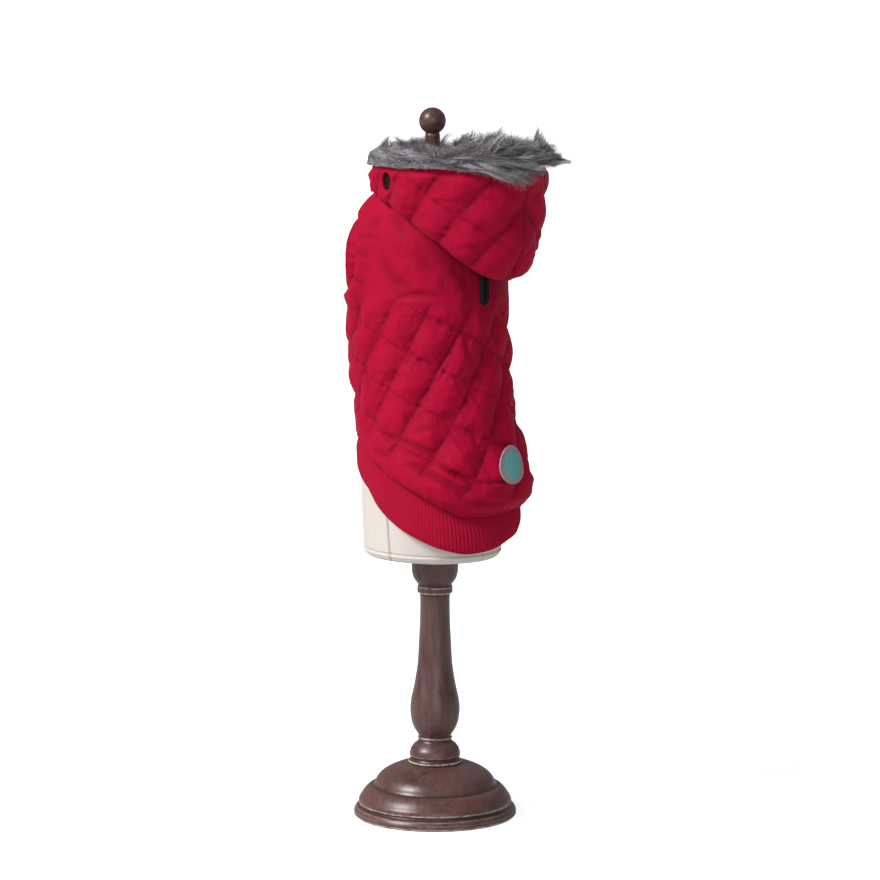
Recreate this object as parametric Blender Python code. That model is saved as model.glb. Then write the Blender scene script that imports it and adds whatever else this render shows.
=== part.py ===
"""A hooded, quilted coat for a small dog, on a limbless dress form with a turned wooden stand.

The frame is upright: +Z is up, the form's axis is the Z axis, and the stand's flat foot lies on Z = 0. The
coat's belly faces -Y, its back faces +Y and its left flank +X. An angle round the form starts at the belly and
turns towards the left flank, so 90 degrees is the left flank and 180 the middle of the back.

Every length in a table is in millimetres, and table() turns it into metres.
"""

import bpy
import mathutils
import numpy as np

MM = 0.001

# Cloth and seams.
SEAM_GAP = 0.3 * MM
LINING_DEPTH = 3.4 * MM
EDGE_DEPTH = 1.6 * MM
STITCH_DEPTH = 1.8 * MM
PUFF_RISE = 4.8 * MM
HOOD_WALL = 2.0 * MM
HOOD_PUFF_RISE = 3.4 * MM
RIB_WALL = 2.2 * MM
RIB_RISE = 0.9 * MM
RIB_COUNT = 142

# The coat's body: where its two panels meet, and the ring that the hood is sewn to.
SIDE_SEAM_ANGLE = 40.0
NECK_HEIGHT = 632.0 * MM
DEPTH_TO_WIDTH = 1.1
BAND_HEIGHT = 49.0 * MM
TUCK_HEIGHT = 15.0 * MM

# A leg hole and its gathered sleeve.
LEG_HOLE = {"height": 569.0 * MM, "half_height": 33.0 * MM, "half_angle": 18.0}

# The leash slot in the middle of the back.
SLOT = {"angle": 176.5, "height": 547.0 * MM, "half_width": 3.0 * MM, "half_height": 18.0 * MM}
WELT = {"width": 13.0 * MM, "length": 46.0 * MM, "slit": 2.4 * MM, "thickness": 1.8 * MM}

# The oval label on the lower back. It leans by degrees round the coat for each metre up, since the cloth under
# it widens downwards.
LABEL = {
    "angle": 184.5, "height": 367.5 * MM, "width": 35.0 * MM, "length": 37.5 * MM, "thickness": 1.3 * MM,
    "lean": 155.0,
}

# The hood's mouth, a level oval behind the neck, and the gap at either side of the throat.
MOUTH = {
    "half_width": 75.0 * MM, "half_depth": 92.0 * MM, "shift": 32.0 * MM,
    "front": 659.0 * MM, "back": 664.0 * MM,
}
THROAT_GAP = {"angle": 95.0, "height": 645.5 * MM, "half_width": 8.0 * MM, "half_height": 9.0 * MM}

# Quilting: two families of stitched lines that cross almost at right angles. The steep family turns towards the
# back as it climbs and the gentle one falls towards the back. On the body 11 steep lines go round, and a gentle
# line comes round five lines lower, so both close on themselves.
BODY_QUILT = {
    "steep_pitch": 360 / 11, "steep_start": 129.0, "steep_turn": 430.0, "steep_height": 440.0 * MM,
    "gentle_pitch": 46.5 * MM, "gentle_fall": 5 * 46.5 * MM / 360,
    "gentle_start": 130.0, "gentle_height": 421.0 * MM,
}
HOOD_QUILT = {
    "steep_pitch": 27.5, "steep_start": 146.0, "steep_turn": 430.0, "steep_height": 610.0 * MM,
    "gentle_pitch": 52.0 * MM, "gentle_fall": 1.25 * MM,
    "gentle_start": 150.0, "gentle_height": 613.0 * MM,
}

# How finely each piece is drawn.
BACK_GRID = (47, 33)
CHEST_GRID = (13, 27)
HOOD_GRID = (25, 21)
CUFF_SIDES = 22
FUR_SIDES = 44
FORM_SIDES = 36
TURNED_SIDES = 28


def table(names, *rows):
    """A short table as a dictionary of columns. Lengths turn into metres; angles and shares stay."""
    columns = dict(zip(names, np.array(rows, float).T))
    return {name: column if name == "angle" or name.startswith("share") else column * MM
            for name, column in columns.items()}


# The coat's rings, at the height of its stitched lines: half of the width across the flanks, and how far the
# ring's middle lies towards the back.
BODY = table(
    ("height", "half_width", "shift"),
    (300, 77.5, 6.0),
    (320, 80.0, 8.6),
    (335, 83.4, 13.4),
    (346, 83.6, 13.0),
    (370, 80.4, 8.6),
    (400, 76.7, 2.2),
    (430, 75.3, -2.2),
    (460, 76.0, -8.2),
    (492, 76.0, -9.6),
    (545, 72.9, -6.5),
    (575, 71.0, -5.8),
    (595, 68.1, -3.6),
    (610, 63.8, -1.4),
    (622, 59.6, -0.7),
    (634, 55.9, 0.0),
    (650, 53.4, 0.0),
)

# The lower edge of the quilted panels, and the lower edge of the rib band, round the coat.
HEM = table(
    ("angle", "panel_edge", "band_edge"),
    (0, 394, 356),
    (30, 392, 354),
    (53, 386, 350),
    (72, 375, 340),
    (87, 363, 324),
    (104, 352, 308),
    (123, 339, 295),
    (141, 325, 285),
    (158, 316, 280),
    (176, 316, 283),
    (193, 318, 290),
    (210, 319, 295),
    (226, 320, 299),
    (250, 330, 309),
    (275, 350, 326),
    (300, 378, 344),
    (330, 391, 354),
)

# The rib band's rings by the height above its lower edge: the band draws in at its hem and at its seam.
BAND = table(
    ("above", "half_width", "shift"),
    (0, 77.0, 5.0),
    (8, 78.2, 5.0),
    (20, 78.2, 4.0),
    (32, 75.4, 2.8),
    (49, 70.85, 1.0),
)

# The hood's fold, the lowest line of the bag that hangs behind the neck.
HOOD_FOLD = table(
    ("angle", "drop"),
    (0, 0.0),
    (55, 0.0),
    (75, 3.5),
    (97, 10.5),
    (124, 30),
    (142, 48.5),
    (155, 66),
    (167, 77),
    (180, 83.5),
)

# The fur trim's cross-section: out from the hood's wall and up from its mouth. The strip's outer side hangs
# over the wall, and the long hair stands up and out.
FUR_SECTION = table(
    ("out", "up"),
    (-2.5, 0.3),
    (2.6, 0.3),
    (3.4, -4.5),
    (8.0, -8.5),
    (16.0, -6.5),
    (13.0, 0.0),
    (10.0, 7.0),
    (5.0, 14.0),
    (-4.0, 21.0),
    (-7.0, 16.0),
    (-8.0, 8.0),
)

# How far the hair reaches out, stands up and hangs down, over or under the section above.
FUR_REACH = table(
    ("angle", "share_out", "share_up", "share_down"),
    (0, 0.30, 0.95, 0.6),
    (46, 0.06, 0.80, 0.6),
    (80, 0.20, 0.85, 0.3),
    (110, 0.45, 0.90, 0.4),
    (140, 0.75, 0.95, 0.8),
    (165, 1.05, 1.20, 1.2),
    (185, 1.55, 1.45, 1.4),
    (205, 2.00, 1.40, 1.2),
    (226, 2.10, 1.00, 1.0),
    (248, 1.40, 1.15, 0.8),
    (272, 1.00, 1.35, 0.7),
    (298, 0.70, 1.10, 0.6),
    (320, 0.50, 0.95, 0.6),
)

# The dress form's rings, from its turned-over bottom edge to its flat top.
FORM = table(
    ("height", "half_width", "shift"),
    (266.8, 61.8, -4.0),
    (269.0, 64.2, -4.0),
    (276.0, 65.8, -3.4),
    (288, 67.2, -2.0),
    (310, 69.0, -0.8),
    (332, 69.8, -0.6),
    (360, 67.4, -1.0),
    (392, 64.2, -2.6),
    (430, 65.6, -4.4),
    (470, 66.6, -6.8),
    (513, 66.2, -7.4),
    (545, 65.2, -6.4),
    (575, 62.6, -5.4),
    (598, 57.6, -3.2),
    (618, 52.6, -1.4),
    (634, 50.4, -0.6),
    (655, 50.0, 0.0),
    (658, 47.6, 0.0),
)

# Turned profiles, each listed upwards.
STAND_BASE = table(
    ("height", "radius"),
    (0, 80.5), (1.6, 82.0), (4.5, 82.0), (8.5, 80.2), (10.8, 76.6), (12.2, 76.2), (13.6, 77.4),
    (17, 76.8), (21, 74.4), (25.5, 71.2), (29.4, 66.6), (30.4, 62.8), (32, 61.4), (36, 59.6),
    (41.5, 55.4), (46.4, 48.4), (50, 40.5), (52.4, 33.5), (53, 30.5),
)
STAND_COLUMN = table(
    ("height", "radius"),
    (53.3, 26.4), (55.2, 27.2), (57.0, 25.4), (58.4, 24.6), (61.5, 25.6), (66.5, 24.8), (72, 21.4),
    (75.5, 17.4), (77.4, 16.6), (79.2, 17.6), (80.6, 16.2), (84, 18.0), (89, 21.0), (97, 23.8),
    (109, 25.0), (118, 24.2), (130, 21.6), (142, 19.4), (158, 17.3), (178, 16.2), (199, 15.2),
    (219, 14.9), (226, 15.2), (228.4, 17.8), (233.8, 17.8), (235.4, 16.8), (239, 19.2), (244, 22.0),
    (251, 23.4), (266.5, 23.8),
)
NECK_CAP = table(
    ("height", "radius"),
    (658.3, 28.0), (660.0, 29.6), (663.0, 29.6), (665.0, 27.4), (667.0, 14.0),
)
FINIAL_POST = table(
    ("height", "radius"),
    (667.3, 9.6), (669.5, 10.2), (671.5, 8.2), (681.0, 7.4), (687.0, 7.6), (689.5, 8.8),
)
BALL = {"height": 701.0 * MM, "radius": 13.4 * MM}
FINIAL_SHIFT = [1.8 * MM, -1.7 * MM, 0.0]

# Colour, roughness and metallic value of each finish.
FINISHES = {
    "red_cloth": ((0.37, 0.010, 0.036), 0.70, 0.0),
    "red_rib": ((0.33, 0.011, 0.034), 0.85, 0.0),
    "grey_fur": ((0.20, 0.19, 0.20), 0.90, 0.0),
    "black_binding": ((0.012, 0.009, 0.009), 0.80, 0.0),
    "label_cloth": ((0.28, 0.27, 0.29), 0.60, 0.0),
    "cream_linen": ((0.76, 0.67, 0.60), 0.90, 0.0),
    "dark_walnut": ((0.105, 0.050, 0.038), 0.45, 0.0),
}


def smooth(at, places, values):
    """A smooth curve through values at places that never swings past them (a monotone cubic)."""
    step = np.diff(places)
    slope = np.diff(values) / step
    before, after = slope[:-1], slope[1:]
    total = np.where(before * after > 0, before + after, 1.0)
    middle = np.where(before * after > 0, 2 * before * after / total, 0.0)
    tangent = np.concatenate([slope[:1], middle, slope[-1:]])
    at = np.asarray(at, float)
    i = np.clip(np.searchsorted(places, at, side="right") - 1, 0, len(step) - 1)
    t = np.clip((at - places[i]) / step[i], 0, 1)
    start = values[i] + t**2 * (3 - 2 * t) * (values[i + 1] - values[i])
    lean = (t**3 - 2 * t**2 + t) * tangent[i] + (t**3 - t**2) * tangent[i + 1]
    return start + lean * step[i]


def read(columns, wanted, at, by):
    """One column of a table, read smoothly at places along another of its columns."""
    return smooth(at, columns[by], columns[wanted])


def read_round(columns, wanted, angle):
    """One column of a table by angle, joined smoothly where the turn closes."""
    places, values = columns["angle"], columns[wanted]
    places = np.concatenate([places[-2:] - 360, places, places[:2] + 360])
    values = np.concatenate([values[-2:], values, values[:2]])
    return smooth(np.asarray(angle, float) % 360, places, values)


def along(angle):
    """The level direction at an angle round the form, as its X and Y parts."""
    turn = np.radians(angle)
    return np.sin(turn), -np.cos(turn)


def oval_radius(angle, half_width, half_depth, shift):
    """How far a ray from the axis at an angle goes to an oval whose middle is shifted towards the back."""
    x, y = along(angle)
    square = (x / half_width) ** 2 + (y / half_depth) ** 2
    cross = y * shift / half_depth**2
    rest = (shift / half_depth) ** 2 - 1
    return (cross + np.sqrt(cross**2 - square * rest)) / square


def ring_radius(rings, angle, place, by="height"):
    """The radius of a table's oval ring at an angle and a height."""
    half_width = read(rings, "half_width", place, by)
    return oval_radius(angle, half_width, DEPTH_TO_WIDTH * half_width, read(rings, "shift", place, by))


def at_place(angle, radius, height):
    """Points in space from angles, radii and heights."""
    x, y = along(angle)
    return np.stack(np.broadcast_arrays(radius * x, radius * y, height), axis=-1)


def ease(share):
    """A smooth step from 0 to 1."""
    share = np.clip(share, 0, 1)
    return share**2 * (3 - 2 * share)


def puffed(first, second):
    """The padding's height at a place given in stitched lines: 0 on a line, 1 in the middle of a diamond."""
    return np.sqrt(np.abs(np.sin(np.pi * first) * np.sin(np.pi * second)))


def quilt_lines(quilt, angle, height):
    """A place counted in stitched lines of either family, so that a line lies at each whole number."""
    steep = angle - quilt["steep_start"] - quilt["steep_turn"] * (height - quilt["steep_height"])
    gentle = height - quilt["gentle_height"] + quilt["gentle_fall"] * (angle - quilt["gentle_start"])
    return steep / quilt["steep_pitch"], gentle / quilt["gentle_pitch"]


def quilt_place(quilt, first, second):
    """The angle and the height of a place given in stitched lines: quilt_lines() turned round."""
    fall, turn = quilt["gentle_fall"], quilt["steep_turn"]
    rise = quilt["gentle_height"] + second * quilt["gentle_pitch"] + fall * quilt["gentle_start"]
    start = quilt["steep_start"] + first * quilt["steep_pitch"] + turn * (rise - quilt["steep_height"])
    angle = start / (1 + turn * fall)
    return angle, rise - fall * angle


def shorter_step(values):
    """The shorter of a grid point's two steps to its neighbours in the next rows."""
    step = np.abs(np.diff(values, axis=0))
    return np.minimum(np.concatenate([step[:1], step]), np.concatenate([step, step[-1:]]))


def onto_lines(quilt, angle, height, free):
    """A grid's places, the free ones moved by up to half a cell so that points lie along each stitched line."""
    first, second = quilt_lines(quilt, angle, height)
    off_first, off_second = first - np.round(first), second - np.round(second)
    near_first = free & (np.abs(off_first) < 0.5 * shorter_step(first.T).T)
    near_second = free & (np.abs(off_second) < 0.5 * shorter_step(second))
    crossing = quilt_place(quilt, np.round(first), np.round(second))
    angle = np.where(near_first, angle - off_first * quilt["steep_pitch"], angle)
    height = np.where(near_second, height - off_second * quilt["gentle_pitch"], height)
    both = near_first & near_second
    return np.where(both, crossing[0], angle), np.where(both, crossing[1], height)


def make_object(name, points, faces, finish, smooth_to=40.0):
    """A named object from points in metres and faces, with its finish and smooth shading up to an angle."""
    mesh = bpy.data.meshes.new(name)
    mesh.from_pydata(np.asarray(points, float).tolist(), [], faces)
    mesh.validate()
    mesh.shade_smooth()
    mesh.set_sharp_from_angle(angle=np.radians(smooth_to))
    mesh.materials.append(finish_named(finish))
    item = bpy.data.objects.new(name, mesh)
    bpy.context.scene.collection.objects.link(item)
    return item


def finish_named(name):
    """The finish's Principled material, made once."""
    if name in bpy.data.materials:
        return bpy.data.materials[name]
    colour, roughness, metallic = FINISHES[name]
    material = bpy.data.materials.new(name)
    material.use_nodes = True
    shader = material.node_tree.nodes["Principled BSDF"]
    shader.inputs["Base Color"].default_value = (*colour, 1.0)
    shader.inputs["Roughness"].default_value = roughness
    shader.inputs["Metallic"].default_value = metallic
    return material


def wall(name, outer, inner, finish, around=False, holes=None):
    """A closed wall between an outer and an inner grid of points, both shaped (rows, columns, 3).

    The columns turn from the belly to the left flank and the rows run upwards, seen from outside. The plain
    inner face has a point at every second row and column, so the wall is made in blocks of two by two cells.
    holes marks the blocks that are left out, and each edge of the wall gets a rim.
    """
    rows, columns = outer.shape[:2]
    down, across = (rows - 1) // 2, columns // 2 if around else (columns - 1) // 2
    kept = np.ones((down, across), bool) if holes is None else ~holes
    index = np.arange(rows * columns).reshape(rows, columns)
    inside = rows * columns

    def block(i, j):
        """A block's nine points, row by row."""
        return [[int(index[2 * i + m, (2 * j + n) % columns]) for n in range(3)] for m in range(3)]

    faces = []
    for i in range(down):
        for j in range(across):
            if not kept[i, j]:
                continue
            p = block(i, j)
            for m in range(2):
                for n in range(2):
                    faces += split_low(outer, (p[m][n], p[m][n + 1], p[m + 1][n + 1], p[m + 1][n]))
            faces.append((inside + p[0][0], inside + p[2][0], inside + p[2][2], inside + p[0][2]))
            beside = (
                (i - 1, j, (p[0][0], p[0][1], p[0][2])),
                (i, j + 1, (p[0][2], p[1][2], p[2][2])),
                (i + 1, j, (p[2][2], p[2][1], p[2][0])),
                (i, j - 1, (p[2][0], p[1][0], p[0][0])),
            )
            for row, column, (start, middle, end) in beside:
                column = column % across if around else column
                if 0 <= row < down and 0 <= column < across and kept[row, column]:
                    continue
                faces.append((middle, start, inside + start))
                faces.append((middle, inside + start, inside + end))
                faces.append((end, middle, inside + end))
    points = np.concatenate([outer.reshape(-1, 3), inner.reshape(-1, 3)])
    used = np.unique([k for face in faces for k in face])
    renumber = np.zeros(len(points), int)
    renumber[used] = np.arange(len(used))
    return make_object(name, points[used], [[int(renumber[k]) for k in face] for face in faces], finish)


def split_low(points, quad):
    """A cell's two triangles, cut along the diagonal that lies nearer the axis, as a stitched line does."""
    flat = points.reshape(-1, 3)
    reach = [np.hypot(*flat[k][:2]) for k in quad]
    a, b, c, d = quad
    if reach[0] + reach[2] <= reach[1] + reach[3]:
        return [(a, b, c), (a, c, d)]
    return [(b, c, d), (b, d, a)]


def tube(name, rings, finish, smooth_to=40.0):
    """A closed solid of a looped cross-section carried round a loop: rings is shaped (around, section, 3)."""
    count, section = rings.shape[:2]
    faces = []
    for i in range(count):
        for j in range(section):
            i_next, j_next = (i + 1) % count, (j + 1) % section
            here, there = i * section, i_next * section
            faces.append((here + j, there + j, there + j_next, here + j_next))
    return make_object(name, rings.reshape(-1, 3), faces, finish, smooth_to)


def stack(name, rings, finish, smooth_to=40.0):
    """A solid of rings laid one on another, closed by a flat face at the bottom and one at the top."""
    rows, sides = rings.shape[:2]
    faces = [tuple(reversed(range(sides)))]
    for i in range(rows - 1):
        for j in range(sides):
            j_next = (j + 1) % sides
            faces.append((i * sides + j, i * sides + j_next, (i + 1) * sides + j_next, (i + 1) * sides + j))
    faces.append(tuple(range((rows - 1) * sides, rows * sides)))
    return make_object(name, rings.reshape(-1, 3), faces, finish, smooth_to)


def turned(name, profile, finish, sides=TURNED_SIDES):
    """A piece turned on the lathe from a table of heights and radii."""
    angle = np.arange(sides) * 360 / sides
    rings = at_place(angle[None], profile["radius"][:, None], profile["height"][:, None])
    return stack(name, rings, finish, smooth_to=50.0)


def panel_radius(angle, height):
    """The quilted panels' ring, drawn in at the hem so that the edge lies just outside the rib band."""
    edge = read_round(HEM, "panel_edge", angle)
    band = band_radius(angle, edge) + RIB_RISE / 2 + 4 * SEAM_GAP + EDGE_DEPTH
    rise = np.clip((height - edge) / TUCK_HEIGHT, 0, 1)
    return band + (ring_radius(BODY, angle, height) - band) * np.sqrt(1 - (1 - rise) ** 2)


def padding(angle, height):
    """How much of the quilting's relief shows at a place: none at the hem, the neck and the leg holes."""
    edge = read_round(HEM, "panel_edge", angle)
    at_hem = ease((height - edge) / (12 * MM))
    at_neck = ease((NECK_HEIGHT - height) / (14 * MM))
    from_front = np.minimum(angle % 360, 360 - angle % 360)
    across = (from_front - SIDE_SEAM_ANGLE) / (1.45 * LEG_HOLE["half_angle"])
    up = (height - LEG_HOLE["height"]) / (1.35 * LEG_HOLE["half_height"])
    at_leg = ease((np.hypot(across, up) - 0.9) / 0.4)
    slot_across = (angle - SLOT["angle"]) / 9
    slot_up = (height - SLOT["height"]) / (1.7 * SLOT["half_height"])
    at_slot = ease((np.hypot(slot_across, slot_up) - 0.8) / 0.6)
    return at_hem * at_neck * at_leg * at_slot


def panel_relief(angle, height):
    """How far the panels' outer face stands out from their rings."""
    puff = puffed(*quilt_lines(BODY_QUILT, angle, height))
    return padding(angle, height) * (PUFF_RISE * puff - STITCH_DEPTH)


def side_edge(height, towards_back):
    """The angle of a panel's side edge: the side seam, cut back round the leg hole."""
    up = np.clip((height - LEG_HOLE["height"]) / LEG_HOLE["half_height"], -1, 1)
    cut = LEG_HOLE["half_angle"] * np.sqrt(1 - up**2)
    half_gap = np.degrees(SEAM_GAP / 2 / (75 * MM))
    return SIDE_SEAM_ANGLE + towards_back * (cut + half_gap)


def panel_shares(count):
    """Shares of the way up a panel's side seam, a little closer together at both ends of the leg hole."""
    bottom = read_round(HEM, "panel_edge", SIDE_SEAM_ANGLE)
    span = NECK_HEIGHT - bottom
    low = (LEG_HOLE["height"] - LEG_HOLE["half_height"] - bottom) / span
    high = (LEG_HOLE["height"] + LEG_HOLE["half_height"] - bottom) / span
    above = max(2, round(count * (1 - high)))
    beside = 10
    below = count - above - beside
    even = np.linspace(0, 1, beside + 1)
    hole = low + (high - low) * (even + (1 - np.cos(np.pi * even)) / 2) / 2
    return np.concatenate([np.linspace(0, low, below + 1)[:-1], hole, np.linspace(high, 1, above + 1)[1:]])


def seam_heights(share):
    """The heights of a panel's rows at its side seam."""
    bottom = read_round(HEM, "panel_edge", SIDE_SEAM_ANGLE)
    return bottom + share * (NECK_HEIGHT - bottom)


def panel_heights(angle, share):
    """The heights of a panel's grid, its rows the given shares of the way up from the hem to the neck."""
    edge = read_round(HEM, "panel_edge", angle)
    return edge + share[:, None] * (NECK_HEIGHT - edge)


def panel_faces(angle, height, free):
    """A panel's outer points, drawn onto the stitched lines, and its plain inner points."""
    edge = read_round(HEM, "panel_edge", angle)
    depth = EDGE_DEPTH + (LINING_DEPTH - EDGE_DEPTH) * ease((height - edge) / TUCK_HEIGHT)
    inner = at_place(angle, panel_radius(angle, height) - depth, height)
    angle, height = onto_lines(BODY_QUILT, angle, height, free)
    outer = at_place(angle, panel_radius(angle, height) + panel_relief(angle, height), height)
    return outer, inner


def inside_edges(shape):
    """A mask of a grid's points that are on none of its edges."""
    free = np.zeros(shape, bool)
    free[1:-1, 1:-1] = True
    return free


def slot_spread(count):
    """Columns across the back from 0 to 1, moved a little so that the leash slot is two columns wide."""
    span = 360 - 2 * SIDE_SEAM_ANGLE
    half = np.degrees(SLOT["half_width"] / (76 * MM)) / span
    middle = (SLOT["angle"] - SIDE_SEAM_ANGLE) / span
    before = 2 * round(count * middle / 2) - 1
    left = np.linspace(0, middle - half, before)
    right = np.linspace(middle + half, 1, count - before - 1)
    return np.concatenate([left, [middle], right]), before // 2


def back_panel():
    """The quilted back and flanks in one piece, with the leash slot cut through."""
    share = panel_shares(BACK_GRID[1] - 1)
    spread, slot_block = slot_spread(BACK_GRID[0])
    edge = side_edge(seam_heights(share), 1)[:, None]
    angle = edge + (360 - 2 * edge) * spread
    height = panel_heights(angle, share)
    beside = 2 * slot_block + 1
    low = int(np.argmin(np.abs(height[::2, beside] - SLOT["height"] + SLOT["half_height"])))
    high = int(np.argmin(np.abs(height[::2, beside] - SLOT["height"] - SLOT["half_height"])))
    holes = np.zeros((len(share) // 2, len(spread) // 2), bool)
    holes[low:high, slot_block] = True
    free = inside_edges(angle.shape)
    free[:, beside - 1:beside + 2] = False
    outer, inner = panel_faces(angle, height, free)
    return wall("back_panel", outer, inner, "red_cloth", holes=holes)


def chest_panel():
    """The quilted piece between the legs, from the throat to the hem band."""
    share = panel_shares(CHEST_GRID[1] - 1)
    angle = side_edge(seam_heights(share), -1)[:, None] * np.linspace(-1, 1, CHEST_GRID[0])
    outer, inner = panel_faces(angle, panel_heights(angle, share), inside_edges(angle.shape))
    return wall("chest_panel", outer, inner, "red_cloth")


def band_radius(angle, height):
    """The rib band's outer ring at an angle and a height, halfway up its ribs."""
    above = height - read_round(HEM, "band_edge", angle)
    return ring_radius(BAND, angle, above, by="above")


def rib_hem():
    """The rib-knit band, a tube with a rib at every second column of its outer face."""
    angle = np.arange(2 * RIB_COUNT) * 180 / RIB_COUNT
    share = np.array([0.0, 0.45, 1.0])[:, None]
    height = read_round(HEM, "band_edge", angle) + share * BAND_HEIGHT
    ribbed = np.where(np.arange(2 * RIB_COUNT) % 2 == 0, -RIB_RISE / 2, RIB_RISE / 2)
    radius = band_radius(angle, height)
    outer = at_place(angle, radius + ribbed, height)
    inner = at_place(angle, radius - RIB_WALL, height)
    return wall("rib_hem", outer, inner, "red_rib", around=True)


def leg_cuff(name, mirrored):
    """A short gathered sleeve: oval rings carried out from the leg hole, turned over at its rim."""
    sections = table(
        ("across", "up", "out"),
        (29.5, 36.8, 0.5), (29.0, 36.4, 2.6), (27.0, 35.0, 7.6), (23.4, 31.6, 11.6), (20.4, 29.0, 12.8),
        (20.0, 28.6, 11.2), (24.6, 33.0, 6.4), (26.6, 34.8, 0.5),
    )
    turn = np.arange(CUFF_SIDES)[:, None] * 2 * np.pi / CUFF_SIDES
    across = sections["across"] * np.cos(turn)
    up = sections["up"] * np.sin(turn)
    angle = SIDE_SEAM_ANGLE + np.degrees(across / (77 * MM))
    height = LEG_HOLE["height"] + up
    base = at_place(angle, ring_radius(BODY, angle, height), height)
    outward = np.array([*along(SIDE_SEAM_ANGLE), 0.0])
    fuller_in_middle = 1.0 + 0.04 * np.sin(turn) - 0.42 * np.sin(turn) ** 2
    reach = SEAM_GAP + (sections["out"] - SEAM_GAP) * fuller_in_middle
    points = base + reach[..., None] * outward
    if mirrored:
        points = points[:, ::-1] * [-1, 1, 1]
    return tube(name, points, "red_cloth")


def welt_outline(half_width, half_height, count):
    """A long oval, as angles round the coat and heights round the leash slot."""
    turn = np.arange(count)[:, None] * 2 * np.pi / count
    reach = np.sign(np.cos(turn)) * np.abs(np.cos(turn)) ** 0.8
    rise = np.sign(np.sin(turn)) * np.abs(np.sin(turn)) ** 0.8
    angle = SLOT["angle"] + np.degrees(half_width * reach / (76 * MM))
    return angle, SLOT["height"] + half_height * rise


def slot_welt():
    """The black binding round the leash slot: two rounded lips that leave a narrow slit."""
    lips = np.array([[1.0, 0.0], [0.86, 0.75], [0.5, 1.0], [0.14, 0.75], [0.0, 0.0]])
    outer = np.array([WELT["width"], WELT["length"]]) / 2
    slit = np.array([WELT["slit"], WELT["length"] - WELT["width"] + WELT["slit"]]) / 2
    size = slit + lips[:, :1] * (outer - slit)
    angle, height = welt_outline(size[:, 0], size[:, 1], 24)
    lift = 2 * SEAM_GAP + lips[:, 1] * WELT["thickness"]
    points = at_place(angle, panel_radius(angle, height) + lift, height)
    return tube("slot_welt", points, "black_binding")


def label():
    """The oval label: a thin plate on the crests of the quilting."""
    turn = np.arange(28)[:, None] * 2 * np.pi / 28
    lift = np.array([0.0, 0.0, 0.7, 1.0, 1.0])
    size = np.array([0.45, 1.0, 1.0, 0.94, 0.45])
    rise = size * LABEL["length"] / 2 * np.sin(turn)
    across = np.degrees(size * LABEL["width"] / 2 * np.cos(turn) / (92 * MM))
    angle = LABEL["angle"] + across + LABEL["lean"] * rise
    height = LABEL["height"] + rise
    seat = PUFF_RISE - STITCH_DEPTH + SEAM_GAP
    radius = panel_radius(angle, height) + seat + lift * LABEL["thickness"]
    rings = at_place(angle, radius, height).transpose(1, 0, 2)
    return stack("label", rings, "label_cloth")


def mouth_radius(angle):
    return oval_radius(angle, MOUTH["half_width"], MOUTH["half_depth"], MOUTH["shift"])


def mouth_height(angle):
    _, y = along(angle)
    return MOUTH["front"] + (MOUTH["back"] - MOUTH["front"]) * ease((y + 1) / 2)


def hood_profile(angle, rows):
    """The hood's wall at one angle, as radii and heights from the neck seam to the mouth.

    It steps out over the coat's neck edge, goes down close to the coat, round the fold of the bag and up to the
    mouth. In front the bag has no depth, and the wall stands straight up from the neck seam.
    """
    seam = ring_radius(BODY, angle, NECK_HEIGHT)
    drop = read(HOOD_FOLD, "drop", 180 - abs(angle % 360 - 180), "angle")
    mouth, top = mouth_radius(angle), mouth_height(angle)
    start = NECK_HEIGHT + SEAM_GAP + HOOD_WALL / 2
    bag = ease(drop / (40 * MM))
    step = 2.8 * MM * ease(drop / (1.5 * MM))
    outside = seam + step + (mouth - 3 * MM * bag - seam - step) * ease(drop / (10 * MM))
    low = start - drop
    inner_bend = min(0.5 * (outside - seam), 0.8 * drop)
    outer_bend = max(inner_bend, 0.60 * (top - low) * bag)
    down = np.linspace(start, low + inner_bend, 24)
    coat = ring_radius(BODY, angle, np.minimum(down, NECK_HEIGHT))
    clear = coat + step + 3.2 * MM * ease((start - down) / (14 * MM))
    inside = clear[-1]
    middle = inside + 0.45 * (outside - inside)
    swing = np.linspace(0, np.pi / 2, 14)[1:]
    first_radius = middle - (middle - inside) * np.cos(swing)
    first_height = low + inner_bend * (1 - np.sin(swing))
    last_radius = middle + (outside - middle) * np.sin(swing)
    last_height = low + outer_bend * (1 - np.cos(swing))
    rise = np.linspace(0, 1, 16)[1:]
    up_radius = outside + (mouth - outside) * rise + 2 * MM * bag * np.sin(np.pi * rise)
    up_height = low + outer_bend + (top - low - outer_bend) * rise
    radius = np.concatenate([clear, first_radius, last_radius, up_radius])
    height = np.concatenate([down, first_height, last_height, up_height])
    length = np.concatenate([[0], np.cumsum(np.hypot(np.diff(radius), np.diff(height)))])
    at = np.linspace(0, length[-1], rows - 1)
    radius, height = np.interp(at, length, radius), np.interp(at, length, height)
    return np.concatenate([[seam - 1.5 * MM], radius]), np.concatenate([[start], height])


def hood_outside(angle, height):
    """The radius of the hood's wall at a place on the outside of its bag."""
    radii, heights = hood_profile(angle, 120)
    lowest = int(np.argmin(heights))
    return np.interp(height, heights[lowest:], radii[lowest:])


def hood_columns():
    """The angles of the left half's columns and the block that holds the gap beside the throat."""
    half_turn = np.degrees(THROAT_GAP["half_width"] / (72 * MM))
    seam_turn = np.degrees(SEAM_GAP / 2 / (61 * MM))
    count, middle = HOOD_GRID[0], THROAT_GAP["angle"]
    gap_block = round((count // 2) * middle / 180)
    before = np.linspace(seam_turn, middle - half_turn, 2 * gap_block + 1)
    after = np.linspace(middle + half_turn, 180 - seam_turn / 2, count - 2 * gap_block - 2)
    return np.concatenate([before, [middle], after]), gap_block


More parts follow.
